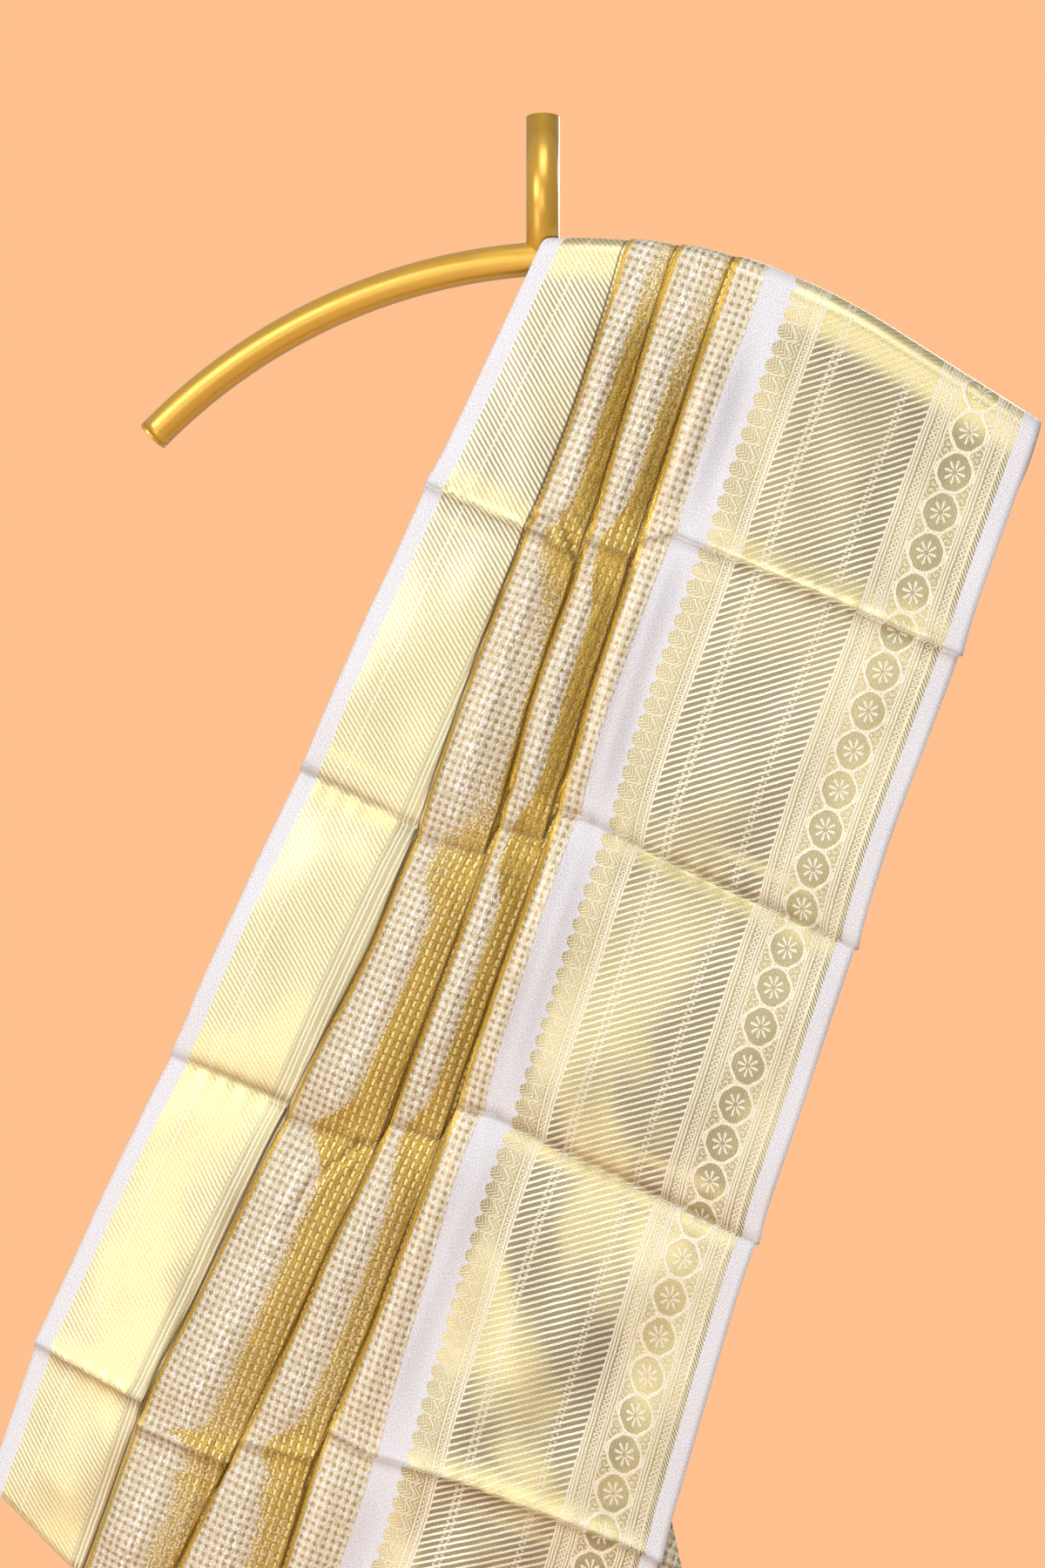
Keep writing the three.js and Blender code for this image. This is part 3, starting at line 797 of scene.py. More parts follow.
# Weave of the body: white silk puffs with small brown gaps, and painted deep-gold shade with dashes in
# the folds
def checkLook(tree, across, along, place):
    beatAcross = addNode(tree, mathNode, times, {0: across, 1: 2 * math.pi / tissue["checkAcross"]})
    side = addNode(tree, mathNode, cosine, {0: beatAcross})
    beatAlong = addNode(tree, mathNode, times, {0: along, 1: 2 * math.pi / tissue["checkAlong"]})
    length = addNode(tree, mathNode, cosine, {0: beatAlong})
    both = addNode(tree, mathNode, plus, {0: side, 1: length})
    blotch = addNode(tree, noiseNode, flatNoise, {
        "Vector": place, "Scale": 1 / tissue["blotchSize"], "Detail": 1.0, "Roughness": 0.6})
    blotch = addNode(tree, rangeNode, None, {0: blotch, 1: 0.3, 2: 0.7, 3: -0.7, 4: 0.7})
    drawn = addNode(tree, vectorNode, over, {0: place, 1: (*tissue["streakSize"], 1.0)})
    streak = addNode(tree, noiseNode, flatNoise, {"Vector": drawn, "Scale": 1.0, "Detail": 2.0})
    streak = addNode(tree, rangeNode, softStep, {0: streak, 1: 0.42, 2: 0.6})
    uneven = addNode(tree, mathNode, plus, {0: both, 1: blotch})
    # Each gap is a small brown square, split by the threads that cross it
    dot = addNode(tree, rangeNode, softStep, {0: uneven, 1: 1.0, 2: 1.4})
    split = addNode(tree, mathNode, times, {0: beatAcross, 1: 4.0})
    split = addNode(tree, mathNode, cosine, {0: split})
    split = addNode(tree, rangeNode, softStep, {0: split, 1: -0.9, 2: 0.1, 3: 0.35, 4: 1.0})
    dot = addNode(tree, mathNode, times, {0: dot, 1: split})
    dot = addNode(tree, mathNode, times, {0: dot, 1: 0.95})
    puff = addNode(tree, rangeNode, softStep, {0: uneven, 1: 0.7, 2: -0.5})
    # paintedShading: painted deep-gold shade, a painted dark gap line above 1.1, a painted white crest
    # highlight below zero
    paintedShading = addNode(tree, attributeNode, {"attribute_name": "paintedShading"}, None, 2)
    ragged = addNode(tree, mathNode, timesPlus, {0: blotch, 1: 0.35, 2: paintedShading})
    inside = addNode(tree, rangeNode, softStep, {0: ragged, 1: 0.3, 2: 0.62})
    # Dashes run lengthwise in the painted deep-gold shade, one row to each repeat of the check
    row = addNode(tree, rangeNode, softStep, {0: side, 1: 0.35, 2: 0.8})
    dash = addNode(tree, rangeNode, softStep, {0: length, 1: -0.8, 2: -0.45})
    dash = addNode(tree, mathNode, times, {0: dash, 1: row})
    fade = addNode(tree, rangeNode, softStep, {0: ragged, 1: 1.5, 2: 1.05})
    dash = addNode(tree, mathNode, times, {0: dash, 1: fade})
    # They are painted brighter where the lean attribute paints light beside the creases, and they show
    # all along the lower half
    beside = addNode(tree, attributeNode, {"attribute_name": "lean"}, None, 2)
    beside = addNode(tree, rangeNode, softStep, {0: beside, 1: 0.0, 2: 0.5, 3: 0.3, 4: 1.0})
    lower = addNode(tree, mathNode, absolute, {0: along})
    start, end = tissue["dashFrom"]
    lower = addNode(tree, rangeNode, softStep, {0: lower, 1: start, 2: end, 3: 0.0, 4: 0.95})
    beside = largestOf(tree, beside, lower)
    dash = addNode(tree, mathNode, times, {0: dash, 1: beside})
    tinge = addNode(tree, mathNode, times, {0: streak, 1: 0.75})
    # Painted highlight: the crest of a pleat is painted white on the puffs, broken by the streaks
    crestHighlight = addNode(tree, rangeNode, softStep, {0: paintedShading, 1: -0.1, 2: -0.8})
    shimmer = addNode(tree, rangeNode, None, {0: streak, 1: 0.0, 2: 0.8, 3: 1.0, 4: 0.0})
    crestHighlight = addNode(tree, mathNode, times, {0: crestHighlight, 1: shimmer})
    woven = addNode(tree, rangeNode, None, {0: puff, 1: 0.0, 2: 1.0, 3: 0.3, 4: 1.0})
    crestHighlight = addNode(tree, mathNode, times, {0: crestHighlight, 1: woven})
    dark = addNode(tree, mathNode, times, {0: streak, 1: 0.45})
    deep = layOver(tree, colourMix, yarn["paintedShadeGold"], (dark, yarn["foldShade"]), (dash, yarn["giltDash"]))
    edge = addNode(tree, attributeNode, {"attribute_name": "foldEdge"}, None, 2)
    colour = layOver(
        tree, colourMix, yarn["checkTan"], (puff, yarn["checkPuff"]), (tinge, yarn["checkTan"]),
        (crestHighlight, yarn["paintedHighlightSilk"]), (dot, yarn["checkDot"]), (inside, deep), (edge, yarn["foldGold"]))
    metal = layOver(tree, valueMix, 0.4, (puff, 0.1), (largestOf(tree, inside, edge), 0.6))
    return colour, metal, largestOf(tree, puff, dash)


# Thread grain in colour and bump, painted shade along the creases, at the fold gaps and where the
# cloth is painted as facing away, then the shader. reach is how high the threads stand, in
# millimetres, and contrast how much the grain shows
def finishTissue(tree, place, colour, metal, rough, raised, reach, contrast):
    grain = addNode(tree, noiseNode, flatNoise, {
        "Vector": place, "Scale": 1 / tissue["threadPitch"], "Detail": 2.0, "Roughness": 0.6})
    glint = addNode(tree, rangeNode, None, {
        0: grain, 1: 0.3, 2: 0.7, 3: 1 - contrast, 4: 1 + contrast * 0.7})
    paintedShading = addNode(tree, attributeNode, {"attribute_name": "paintedShading"}, None, 2)
    # Painted shadow: a dark gap line where paintedShading runs above 1.1
    shade = addNode(tree, rangeNode, softStep, {0: paintedShading, 1: 1.1, 2: 1.6})
    # Painted shade: a thin dark line along each crease
    paintedCreaseShade = addNode(tree, attributeNode, {"attribute_name": "crease"}, None, 2)
    paintedCreaseShade = addNode(tree, mathNode, times, {0: paintedCreaseShade, 1: 0.4})
    # Painted shade where the lean attribute paints the cloth as facing away
    lean = addNode(tree, attributeNode, {"attribute_name": "lean"}, None, 2)
    lean = addNode(tree, rangeNode, softStep, {0: lean, 1: -0.1, 2: -0.9, 3: 0.0, 4: 0.45})
    shade = largestOf(tree, shade, paintedCreaseShade, lean)
    colour = layOver(tree, colourMix, colour, (shade, yarn["foldShade"]))
    lit = addNode(tree, vectorNode, scaled, {0: colour, "Scale": glint})
    height = addNode(tree, mathNode, timesPlus, {0: grain, 1: 0.5, 2: raised})
    bump = addNode(tree, "ShaderNodeBump", None, {
        "Strength": 0.55, "Distance": reach * mm, "Height": height})
    shader = addNode(tree, shaderNode, None, {
        "Base Color": lit, "Metallic": metal, "Roughness": rough, "Normal": bump,
        "Sheen Weight": 0.1, "Sheen Roughness": 0.4, "Coat Weight": 0.15, "Coat Roughness": 0.4})
    addNode(tree, "ShaderNodeOutputMaterial", None, {"Surface": shader})


# Woven zari tissue: silk warp and metal weft. It is stiff and bright, with a soft metal lustre
def makeCheckTissue():
    material = newMaterial("wovenZariCheckTissue")
    tree = material.node_tree
    across, along, place = clothPlace(tree)
    colour, metal, raised = checkLook(tree, across, along, place)
    finishTissue(tree, place, colour, metal, 0.42, raised, 0.8, 0.5)
    return material


# Zari brocade woven on silk: the selvedge is matt white, the slanting floats go from grey to
# bright gold through their metal lustre and a painted glare, and a chain row and a set of fine lines
# stand out in cream
narrowBorder = {
    "selvedge": 20.0,
    "chainMiddle": 48.0,
    "floatsEnd": 124.5,
    "lines": [125.0, 130.0, 135.0, 142.0, 147.0],
    "lineWidth": 1.5,
    "checkFrom": 156.0,
    "width": 240.0,
}


def makeNarrowTissue():
    material = newMaterial("wovenZariNarrowBorder")
    tree = material.node_tree
    across, along, place = clothPlace(tree)
    width = narrowBorder["width"]
    silk, lines, body = bandMasks(tree, across, width, (
        [(0, narrowBorder["selvedge"], 1, 0, 0)]
        + [(at, at + narrowBorder["lineWidth"], 0, 1, 0) for at in narrowBorder["lines"]]
        + [(narrowBorder["checkFrom"], width, 0, 0, 1)]))
    end = narrowBorder["floatsEnd"]
    slant = addNode(tree, rangeNode, softStep, {0: across, 1: end + 0.5, 2: end - 0.5})
    floats = slantLines(tree, across, along, -tissue["stripeTurn"], tissue["narrowPitch"], 0.5, -0.5)
    floats = addNode(tree, mathNode, times, {0: floats, 1: slant})
    chain = chainRow(tree, across, along, narrowBorder["chainMiddle"], 3.6, 1.6)
    bright = largestOf(tree, lines, chain)
    # Painted glare is strongest below the narrow border's first crease
    low = addNode(tree, mathNode, absolute, {0: along})
    low = addNode(tree, rangeNode, softStep, {0: low, 1: 260.0, 2: 420.0, 3: 0.1, 4: 0.45})
    paintedGlare = paintedGlareAt(tree, place, along)
    paintedGlare = addNode(tree, mathNode, timesPlus, {0: paintedGlare, 1: 0.55, 2: low})
    # The fine lines beside the check stand on a ground between the two
    flat = addNode(tree, mathNode, minus, {0: 1.0, 1: slant})
    flat = addNode(tree, mathNode, times, {0: flat, 1: 0.4})
    paintedGlare = addNode(tree, mathNode, times, {0: paintedGlare, 1: slant})
    # The painted glare mask also carries this fixed lighter ground, the thread's own tone
    paintedGlare = largestOf(tree, paintedGlare, flat)
    checkColour, checkMetal, checkRaised = checkLook(tree, across, along, place)
    colour = layOver(
        tree, colourMix, yarn["zariGround"], (floats, yarn["floatLine"]), (paintedGlare, yarn["zari"]),
        (bright, yarn["floatLine"]), (body, checkColour), (silk, yarn["silk"]))
    metal = layOver(tree, valueMix, tissue["zariMetal"], (bright, 0.2), (body, checkMetal), (silk, 0.0))
    raised = layOver(tree, valueMix, largestOf(tree, floats, bright), (body, checkRaised))
    rough = layOver(tree, valueMix, tissue["zariRoughness"], (silk, tissue["silkRoughness"]))
    finishTissue(tree, place, colour, metal, rough, raised, 0.5, 0.3)
    return material


# Sizes of the broad border, in millimetres in from the right selvedge's edge
broadBorder = {
    "stripEnd": 325.0,
    "leafBand": (266.0, 296.0),
    "slantBand": (115.5, 252.0),
    "medallionBand": (45.0, 90.0),
    "medallionMiddle": 67.5,
    "medallionPitch": 43.8,
    "medallionReach": (18.7, 21.3),
    "hatchPitch": 2.9,
    "scrollPitch": 0.22,     # turns of a scroll, as a share of a medallion's reach
    "leafMiddle": 283.0,
    "leafPitch": 19.0,
    "leafLean": math.radians(24),
    "leafEnds": (-12.0, 14.0),
    "leafHalfWidth": 9.3,
    "veinPitch": 4.2,
    "chevronPitch": 5.0,
    "selvedge": 20.0,
    "edgeTwillEnd": 26.0,
    "lines": [27.0, 37.5, 41.0, 44.0, 90.5, 94.0, 97.0, 107.5, 111.0, 114.0],
    "farLines": [252.5, 255.5, 263.5],
    "lineWidth": 1.6,
    "chains": [(32.2, 6.0, 3.2), (102.2, 6.0, 3.2), (143.0, 4.4, 1.5), (147.5, 4.4, 1.5),
               (224.0, 4.6, 2.0), (230.0, 4.6, 2.0), (259.5, 6.0, 3.0)],
}


# Oval medallions with a flower of eight petals, inside a vine with scrolls
def medallions(tree, inward, along):
    reach = broadBorder["medallionReach"]
    pitch = broadBorder["medallionPitch"]
    aside = addNode(tree, mathNode, minus, {0: inward, 1: broadBorder["medallionMiddle"]})
    aside = addNode(tree, mathNode, over, {0: aside, 1: reach[0]})
    step = repeatOf(tree, along, pitch)
    ahead = addNode(tree, mathNode, times, {0: step, 1: pitch / reach[1]})
    spot = addNode(tree, "ShaderNodeCombineXYZ", None, {0: aside, 1: ahead})
    away = addNode(tree, vectorNode, size, {0: spot}, 1)
    disc = addNode(tree, rangeNode, softStep, {0: away, 1: 0.96, 2: 0.9})
    hatch = addNode(tree, mathNode, times, {0: inward, 1: 2 * math.pi / broadBorder["hatchPitch"]})
    hatch = addNode(tree, mathNode, sine, {0: hatch})
    hatch = addNode(tree, rangeNode, softStep, {0: hatch, 1: -0.5, 2: 0.6, 3: 1.0, 4: 0.1})
    disc = addNode(tree, mathNode, times, {0: disc, 1: hatch})
    ring = addNode(tree, mathNode, minus, {0: away, 1: 1.0})
    ring = addNode(tree, mathNode, absolute, {0: ring})
    ring = addNode(tree, rangeNode, softStep, {0: ring, 1: 0.09, 2: 0.04})
    turn = addNode(tree, mathNode, arcTangent, {0: ahead, 1: aside})
    turn = addNode(tree, mathNode, times, {0: turn, 1: 4.0})
    petal = addNode(tree, mathNode, cosine, {0: turn})
    petal = addNode(tree, mathNode, absolute, {0: petal})
    petal = addNode(tree, rangeNode, softStep, {0: petal, 1: 0.55, 2: 0.95, 3: 0.16, 4: 0.62})
    petal = addNode(tree, mathNode, minus, {0: petal, 1: away})
    petal = addNode(tree, rangeNode, softStep, {0: petal, 1: 0.0, 2: 0.06})
    eye = addNode(tree, rangeNode, softStep, {0: away, 1: 0.1, 2: 0.16})
    petal = addNode(tree, mathNode, times, {0: petal, 1: eye})
    # The vine swells round each medallion and draws in between two
    swing = addNode(tree, mathNode, times, {0: step, 1: 2 * math.pi})
    swing = addNode(tree, mathNode, cosine, {0: swing})
    swing = addNode(tree, mathNode, timesPlus, {0: swing, 1: 0.36, 2: 0.8})
    wide = addNode(tree, mathNode, absolute, {0: aside})
    vine = addNode(tree, mathNode, minus, {0: wide, 1: swing})
    vine = addNode(tree, mathNode, absolute, {0: vine})
    vine = addNode(tree, rangeNode, softStep, {0: vine, 1: 0.1, 2: 0.04})
    # A scroll fills each corner between two medallions
    corner = addNode(tree, mathNode, minus, {0: wide, 1: 0.92})
    half = addNode(tree, mathNode, absolute, {0: step})
    half = addNode(tree, mathNode, minus, {0: 0.5, 1: half})
    half = addNode(tree, mathNode, times, {0: half, 1: pitch / reach[1]})
    half = addNode(tree, mathNode, minus, {0: half, 1: 0.22})
    curl = addNode(tree, "ShaderNodeCombineXYZ", None, {0: corner, 1: half})
    around = addNode(tree, mathNode, arcTangent, {0: half, 1: corner})
    curl = addNode(tree, vectorNode, size, {0: curl}, 1)
    curl = addNode(tree, mathNode, timesPlus, {
        0: curl, 1: 2 * math.pi / broadBorder["scrollPitch"], 2: around})
    curl = addNode(tree, mathNode, sine, {0: curl})
    curl = addNode(tree, rangeNode, softStep, {0: curl, 1: 0.3, 2: 0.8})
    outside = addNode(tree, rangeNode, softStep, {0: away, 1: 1.06, 2: 1.14})
    curl = addNode(tree, mathNode, times, {0: curl, 1: outside})
    return largestOf(tree, ring, petal, vine, curl), disc


# Leaves stand along the edge of the plain strip, each with its round end on the white silk and
# its tip on the gold ground, which is woven in chevrons
def leafRow(tree, inward, along):
    aside = addNode(tree, mathNode, minus, {0: broadBorder["leafMiddle"], 1: inward})
    step = repeatOf(tree, along, broadBorder["leafPitch"])
    ahead = addNode(tree, mathNode, times, {0: step, 1: broadBorder["leafPitch"]})
    lean = broadBorder["leafLean"]
    part = addNode(tree, mathNode, times, {0: aside, 1: math.cos(lean)})
    tip = addNode(tree, mathNode, timesPlus, {0: ahead, 1: math.sin(lean), 2: part})
    part = addNode(tree, mathNode, times, {0: aside, 1: -math.sin(lean)})
    broad = addNode(tree, mathNode, timesPlus, {0: ahead, 1: math.cos(lean), 2: part})
    broad = addNode(tree, mathNode, absolute, {0: broad})
    # The leaf is fullest a third of the way from its round end
    ends = broadBorder["leafEnds"]
    bow = addNode(tree, rangeNode, None, {0: tip, 1: ends[0], 2: ends[1], 3: 0.0, 4: 1.0})
    bow = addNode(tree, mathNode, power, {0: bow, 1: 0.6})
    bow = addNode(tree, mathNode, times, {0: bow, 1: math.pi})
    bow = addNode(tree, mathNode, sine, {0: bow})
    bow = addNode(tree, mathNode, times, {0: bow, 1: broadBorder["leafHalfWidth"]})
    inside = addNode(tree, mathNode, minus, {0: bow, 1: broad})
    leaf = addNode(tree, rangeNode, softStep, {0: inside, 1: 0.0, 2: 0.8})
    rim = addNode(tree, mathNode, minus, {0: inside, 1: 0.7})
    rim = addNode(tree, mathNode, absolute, {0: rim})
    rim = addNode(tree, rangeNode, softStep, {0: rim, 1: 1.0, 2: 0.4})
    vein = addNode(tree, mathNode, timesPlus, {0: broad, 1: 0.9, 2: tip})
    vein = addNode(tree, mathNode, times, {0: vein, 1: 2 * math.pi / broadBorder["veinPitch"]})
    vein = addNode(tree, mathNode, sine, {0: vein})
    vein = addNode(tree, rangeNode, softStep, {0: vein, 1: 0.2, 2: 0.8})
    deep = addNode(tree, rangeNode, softStep, {0: inside, 1: 1.8, 2: 2.6})
    vein = addNode(tree, mathNode, times, {0: vein, 1: deep})
    ground = addNode(tree, rangeNode, softStep, {0: aside, 1: -6.5, 2: -5.5})
    fold = addNode(tree, mathNode, absolute, {0: step})
    fold = addNode(tree, mathNode, timesPlus, {0: fold, 1: broadBorder["leafPitch"], 2: aside})
    fold = addNode(tree, mathNode, times, {0: fold, 1: 2 * math.pi / broadBorder["chevronPitch"]})
    fold = addNode(tree, mathNode, sine, {0: fold})
    fold = addNode(tree, rangeNode, softStep, {0: fold, 1: 0.3, 2: 0.8})
    fold = addNode(tree, mathNode, times, {0: fold, 1: ground})
    bare = addNode(tree, mathNode, minus, {0: 1.0, 1: leaf})
    fold = addNode(tree, mathNode, times, {0: fold, 1: bare})
    return largestOf(tree, rim, vein, fold), largestOf(tree, leaf, ground)


# Zari brocade woven on silk, from the check to the selvedge: a plain strip that stays matt white,
# a leaf row, broad slanting floats with a painted glare, medallions and fine lines
def makeBroadTissue():
    material = newMaterial("wovenZariBroadBorder")
    tree = material.node_tree
    across, along, place = clothPlace(tree)
    inward = addNode(tree, mathNode, minus, {0: strip["clothWidth"], 1: across})
    lineWidth = broadBorder["lineWidth"]
    selvedge = broadBorder["selvedge"]
    twillEnd = broadBorder["edgeTwillEnd"]
    width = 128.0
    silk, lines, edgeBand = bandMasks(tree, inward, width, (
        [(0, selvedge, 1, 0, 0), (selvedge, twillEnd, 0, 0, 1)]
        + [(at, at + lineWidth, 0, 1, 0) for at in broadBorder["lines"]]))
    start = broadBorder["slantBand"][1] - 2
    beyond = addNode(tree, mathNode, minus, {0: inward, 1: start})
    body, farLines, _ = bandMasks(tree, beyond, width, (
        [(at - start, at - start + lineWidth, 0, 1, 0) for at in broadBorder["farLines"]]
        + [(broadBorder["stripEnd"] - start, width, 1, 0, 0)]))
    width = 330.0
    leafBand, medallionBand, plain = bandMasks(tree, inward, width, [
        (*broadBorder["medallionBand"], 0, 1, 0), (*broadBorder["leafBand"], 1, 0, 0),
        (broadBorder["leafBand"][1], broadBorder["stripEnd"], 0, 0, 1)])
    edges = (twillEnd, *broadBorder["medallionBand"], *broadBorder["slantBand"],
             broadBorder["leafBand"][0])
    slant, _, fineBand = bandMasks(tree, inward, width, [
        (edges[0], edges[1], 0, 0, 1), (edges[2], edges[3], 0, 0, 1),
        (edges[3], edges[4], 1, 0, 0), (edges[4], edges[5], 0, 0, 1)])
    floats = slantLines(tree, across, along, tissue["stripeTurn"], tissue["stripePitch"], 0.25, 0.5)
    floats = addNode(tree, mathNode, times, {0: floats, 1: slant})
    twill = slantLines(tree, across, along, tissue["edgeTurn"], tissue["edgePitch"], -0.2, 0.5)
    twill = addNode(tree, mathNode, times, {0: twill, 1: edgeBand})
    chains = [chainRow(tree, inward, along, *chain) for chain in broadBorder["chains"]]
    thread, disc = medallions(tree, inward, along)
    thread = addNode(tree, mathNode, times, {0: thread, 1: medallionBand})
    disc = addNode(tree, mathNode, times, {0: disc, 1: medallionBand})
    leafThread, leafGold = leafRow(tree, inward, along)
    leafGold = addNode(tree, mathNode, times, {0: leafGold, 1: leafBand})
    leafThread = addNode(tree, mathNode, times, {0: leafThread, 1: leafBand})
    bright = largestOf(tree, lines, farLines, *chains, thread, leafThread, twill)
    # Each band's share of the greyer ground
    dull = addNode(tree, mathNode, timesPlus, {0: disc, 1: 0.24, 2: slant})
    dull = largestOf(tree, dull, edgeBand)
    dull = addNode(tree, mathNode, timesPlus, {0: fineBand, 1: 0.75, 2: dull})
    dull = addNode(tree, mathNode, timesPlus, {0: medallionBand, 1: 0.6, 2: dull})
    dull = addNode(tree, mathNode, {"operation": "MULTIPLY_ADD", "use_clamp": True}, {
        0: leafBand, 1: 0.6, 2: dull})
    # White silk shows between the leaves and in the plain strip
    between = addNode(tree, mathNode, minus, {0: leafBand, 1: leafGold})
    white = largestOf(tree, between, plain, silk)
    # Painted glare lifts the ground to bright zari
    lit = addNode(tree, mathNode, times, {0: paintedGlareAt(tree, place, along), 1: 0.85})
    checkColour, checkMetal, checkRaised = checkLook(tree, across, along, place)
    colour = layOver(
        tree, colourMix, yarn["zari"], (dull, yarn["zariGround"]), (floats, yarn["floatLine"]),
        (lit, yarn["zari"]), (bright, yarn["floatLine"]), (body, checkColour), (white, yarn["silk"]))
    metal = layOver(tree, valueMix, tissue["zariMetal"], (bright, 0.2), (body, checkMetal), (white, 0.0))
    rough = layOver(tree, valueMix, tissue["zariRoughness"], (white, tissue["silkRoughness"]))
    raised = addNode(tree, mathNode, times, {0: checkRaised, 1: body})
    raised = largestOf(tree, raised, bright, floats)
    finishTissue(tree, place, colour, metal, rough, raised, 0.5, 0.3)
    return material


print("weaves")
narrowCloth = makeNarrowTissue()
checkCloth = makeCheckTissue()
broadCloth = makeBroadTissue()

# Each sheet: how it lies across, its weave, its flat width and length in metres, and its slot
sheets = {
    "narrow_border": (borderSection, narrowCloth, (0.21, 3.15), "tissue"),
    "pleat_1": (foldSection(1), checkCloth, (0.26, 3.15), "tissue"),
    "pleat_2": (foldSection(2), checkCloth, (0.25, 3.15), "tissue"),
    "broad_panel": (broadSection, broadCloth, (0.45, 3.15), "tissue"),
    "inner_layer": (innerSection, checkCloth, (0.62, 3.0), "tissue_inner"),
}

print("cloth sheets")
rows = stripRows()
turned = rowCounts["lip"] + rowCounts["turn"] + 1
# The inner layer shows beside the front fall only, and stops two rows short of both ends
for row in rows[:turned + (len(frontCreases) + 1) * rowCounts["front"]]:
    row.peek = 1.0
for name, (section, material, flat, slot) in sheets.items():
    part = rows[turned + 2:-2] if name == "inner_layer" else rows
    sheet = makeSheet(name + "_cloth", section, part, material)
    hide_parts(name + "_front", name + "_over", name + "_back")

print("hanger")


def finishPiece(bm, name, material, node):
    bmesh.ops.recalc_face_normals(bm, faces=bm.faces[:])
    mesh = bpy.data.meshes.new(name)
    for polygon in bm.faces:
        polygon.smooth = True
    bm.to_mesh(mesh)
    bm.free()
    piece = bpy.data.objects.new(name, mesh)
    bpy.context.scene.collection.objects.link(piece)
    mesh.materials.append(material)
    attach(piece, "root")
    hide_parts(node)
    print("piece", name)


# Steel tube sprayed with gold lacquer: satin under a clear coat, so that it shows a soft long
# highlight, broken by a faint orange peel and duller patches
goldPaint = newMaterial("goldLacqueredSteel")
tree = goldPaint.node_tree
place = addNode(tree, "ShaderNodeTexCoord", None, None, "Object")
peel = addNode(tree, noiseNode, None, {
    "Vector": place, "Scale": 1 / (hanger["peelSize"] * mm), "Detail": 1.0})
peel = addNode(tree, "ShaderNodeBump", None, {"Strength": 0.25, "Distance": 0.2 * mm, "Height": peel})
patches = addNode(tree, noiseNode, None, {"Vector": place, "Scale": 1 / (hanger["patchSize"] * mm)})
patches = addNode(tree, rangeNode, None, {0: patches, 1: 0.3, 2: 0.7, 3: 0.28, 4: 0.4})
shader = addNode(tree, shaderNode, None, {
    "Base Color": toLinear(hanger["paint"]), "Roughness": patches, "Metallic": 0.6, "Normal": peel,
    "Coat Weight": 0.7, "Coat Roughness": 0.22})
addNode(tree, "ShaderNodeOutputMaterial", inputs={"Surface": shader})

archCentre = Vector((0, 0, -(hanger["archRadius"] + hanger["stemLength"]) * mm))
armAngle = math.asin(hanger["armSpan"] / hanger["archRadius"])
bm = bmesh.new()
ring = bmesh.ops.create_circle(
    bm, cap_ends=False, segments=hanger["sides"], radius=hanger["tubeRadius"] * mm)["verts"]
bmesh.ops.rotate(bm, verts=ring, matrix=Matrix.Rotation(math.pi / 2, 3, "Y"))
bmesh.ops.translate(bm, verts=ring, vec=(0, 0, -hanger["stemLength"] * mm))
bmesh.ops.rotate(bm, verts=ring, cent=archCentre, matrix=Matrix.Rotation(-armAngle, 3, "Y"))
bmesh.ops.spin(
    bm, geom=bm.verts[:] + bm.edges[:], cent=archCentre, axis=(0, 1, 0),
    angle=2 * armAngle, steps=hanger["archSteps"], use_duplicate=False)
bmesh.ops.holes_fill(bm, edges=[edge for edge in bm.edges if edge.is_boundary], sides=0)
finishPiece(bm, "arch_tube", goldPaint, "hanger_arch")

# A plug closes each end of the arch, with a shallow lip where it was pressed in
for side, node in ((-1, "hanger_cap_left"), (1, "hanger_cap_right")):
    bm = bmesh.new()
    bmesh.ops.create_cone(
        bm, cap_ends=True, segments=hanger["sides"], radius1=hanger["tubeRadius"] * mm,
        radius2=hanger["tubeRadius"] * mm, depth=hanger["capThickness"] * mm)
    outer = [polygon for polygon in bm.faces
             if polygon.calc_center_median().z > 0 and len(polygon.verts) > 4]
    bmesh.ops.inset_region(bm, faces=outer, thickness=hanger["lipWidth"] * mm, depth=0)
    bmesh.ops.inset_region(
        bm, faces=outer, thickness=hanger["dishSlope"] * mm, depth=-hanger["dishDepth"] * mm)
    rims = [edge for edge in bm.edges if edge.calc_face_angle(0) > 0.6]
    bmesh.ops.bevel(
        bm, geom=rims, offset=hanger["rimBevel"] * mm, segments=2, affect="EDGES", profile=0.5,
        material=-1)
    bmesh.ops.rotate(bm, verts=bm.verts, matrix=Matrix.Rotation(side * math.pi / 2, 3, "Y"))
    proud = side * hanger["capThickness"] * mm * 0.51
    bmesh.ops.translate(bm, verts=bm.verts, vec=(proud, 0, -hanger["stemLength"] * mm))
    bmesh.ops.rotate(
        bm, verts=bm.verts, cent=archCentre, matrix=Matrix.Rotation(side * armAngle, 3, "Y"))
    finishPiece(bm, node + "_plug", goldPaint, node)

bm = bmesh.new()
bmesh.ops.create_cone(
    bm, cap_ends=True, segments=hanger["sides"], radius1=hanger["tubeRadius"] * mm,
    radius2=hanger["tubeRadius"] * mm, depth=hanger["stemLength"] * mm)
bmesh.ops.translate(bm, verts=bm.verts, vec=(0, 0, -hanger["stemLength"] * mm / 2))
finishPiece(bm, "stem_tube", goldPaint, "hanger_stem")

print("camera, floor and light")
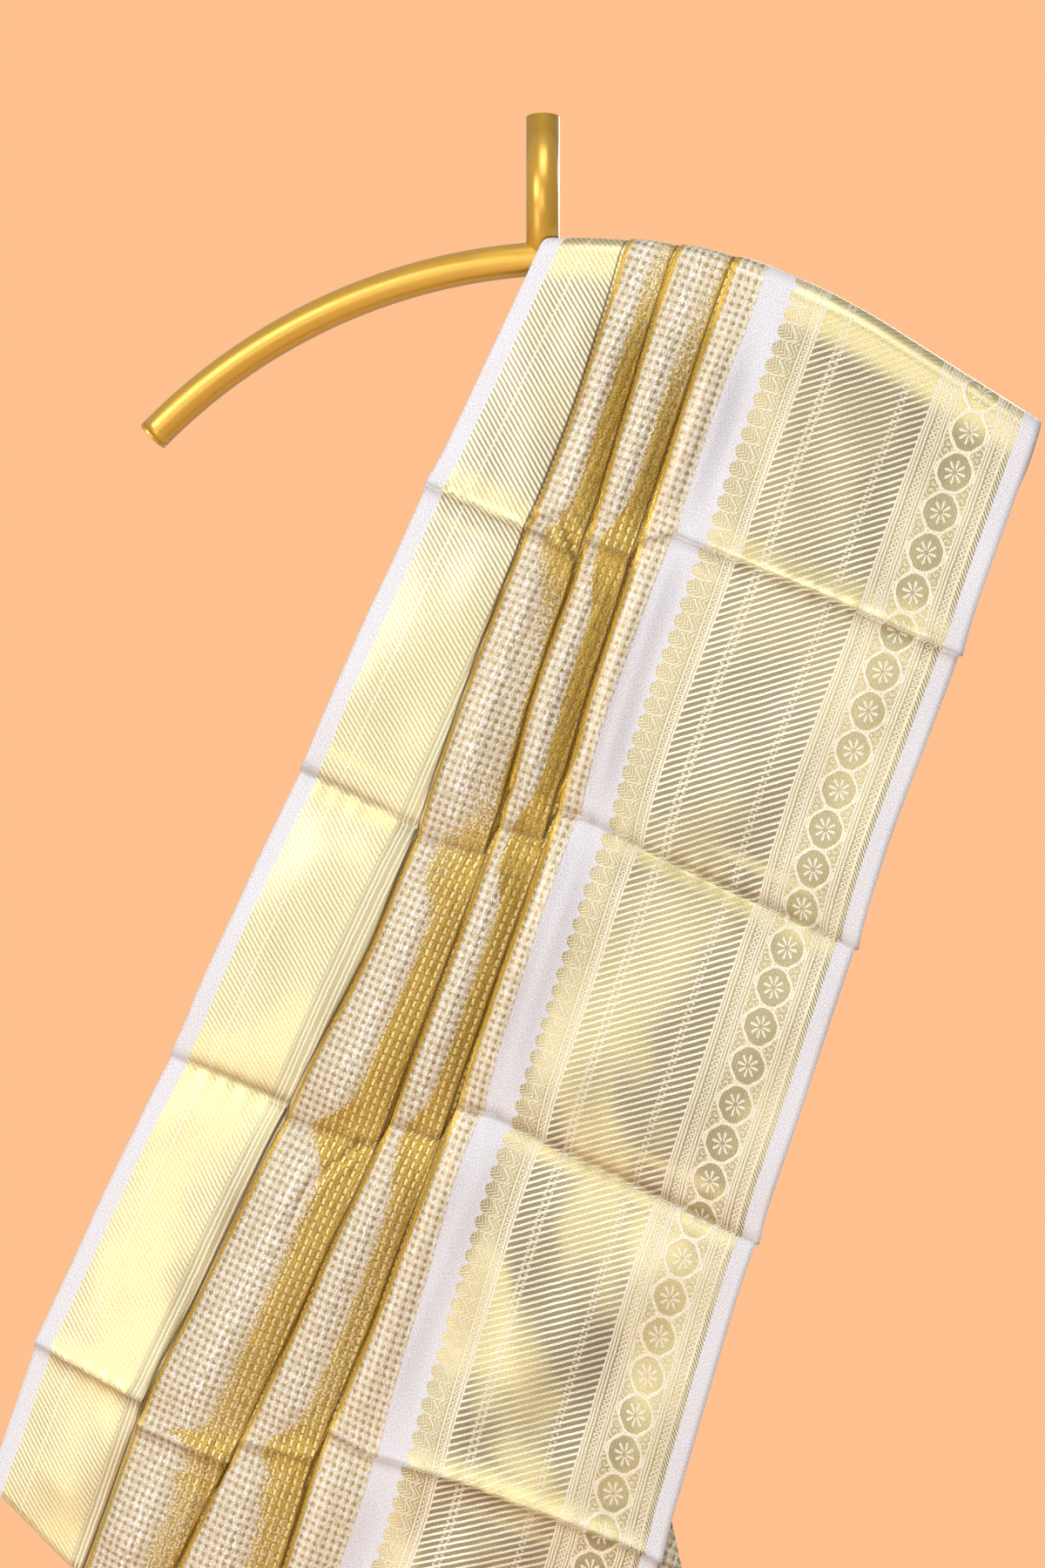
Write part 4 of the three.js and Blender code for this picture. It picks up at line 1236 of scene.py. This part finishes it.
# Where the photograph was taken from: turned a little to the object's right
view = {
    "turn": math.radians(12.7),
    "distance": 2.470,
    "aside": 0.0223,             # the picture's middle lies this far from the stem
    "height": -0.72685,
    "lens": 52.0,
}
cameraData = bpy.data.cameras.new("camera")
cameraData.lens = view["lens"]
cameraData.sensor_width = 36
camera = bpy.data.objects.new("camera", cameraData)
right = Vector((math.cos(view["turn"]), math.sin(view["turn"]), 0))
back = Vector((math.sin(view["turn"]), -math.cos(view["turn"]), 0))
camera.location = back * view["distance"] - right * view["aside"] + Vector((0, 0, view["height"]))
camera.rotation_euler = (math.pi / 2, 0, view["turn"])
bpy.context.scene.collection.objects.link(camera)
bpy.context.scene.camera = camera
# The photograph is bright and plain, so its colours are kept as they are instead of softened
bpy.context.scene.view_settings.view_transform = "Standard"

studio = {
    "floor": -2.8,
    "reach": 3.0,
    "floorColour": "#F0D2B8",
    "roomColour": "#EFE9E0",     # soft light from all around
    "roomStrength": 0.5,
    "behindColour": "#FEC08F",   # plain peach behind the object
    "behindStrength": 1.0,
}
bm = bmesh.new()
bmesh.ops.create_grid(bm, x_segments=1, y_segments=1, size=studio["reach"])
bmesh.ops.translate(bm, verts=bm.verts, vec=(0, 0, studio["floor"]))
mesh = bpy.data.meshes.new("floor")
bm.to_mesh(mesh)
bm.free()
floor = bpy.data.objects.new("floor", mesh)
bpy.context.scene.collection.objects.link(floor)
# Matt emulsion rolled on a board: pale, with no highlight
floorPaint = newMaterial("mattFloorEmulsion")
tree = floorPaint.node_tree
shader = addNode(tree, shaderNode, inputs={
    "Base Color": toLinear(studio["floorColour"]), "Roughness": 0.9})
addNode(tree, "ShaderNodeOutputMaterial", inputs={"Surface": shader})
floor.data.materials.append(floorPaint)

world = bpy.data.worlds.new("studio")
bpy.context.scene.world = world
world.use_nodes = True
tree = world.node_tree
tree.nodes.clear()
room = addNode(tree, "ShaderNodeBackground", None, {
    "Color": toLinear(studio["roomColour"]), "Strength": studio["roomStrength"]})
behind = addNode(tree, "ShaderNodeBackground", None, {
    "Color": toLinear(studio["behindColour"]), "Strength": studio["behindStrength"]})
seen = addNode(tree, "ShaderNodeLightPath")
both = addNode(tree, "ShaderNodeMixShader", None, {0: seen, 1: room, 2: behind})
addNode(tree, "ShaderNodeOutputWorld", None, {"Surface": both})

# Each soft box: where it stands, what it faces, its size in metres and its power in watts
lights = {
    "keyLight": ((-1.9, -3.0, 0.4), (0, 0, -0.9), 1.8, 50, "#FFFDF6"),
    "topLight": ((0.4, -1.6, 1.8), (0, 0, -0.6), 1.6, 28, "#FFFFFF"),
    "frontLight": ((0.2, -3.4, -0.7), (0, 0, -1.0), 2.0, 20, "#FFFFFF"),
    "leftLight": ((-1.5, -2.3, -1.9), (-0.3, 0, -1.3), 1.6, 15, "#FFFFFF"),
    "backLight": ((0.6, 2.8, 0.2), (0, 0, -0.9), 2.0, 60, "#FFFFFF"),
}
for name, (place, target, width, power, colour) in lights.items():
    light = bpy.data.lights.new(name, "AREA")
    light.size = width
    light.energy = power
    light.color = toLinear(colour)[:3]
    lamp = bpy.data.objects.new(name, light)
    lamp.location = place
    lamp.rotation_euler = (Vector(target) - Vector(place)).to_track_quat("-Z", "Y").to_euler()
    bpy.context.scene.collection.objects.link(lamp)
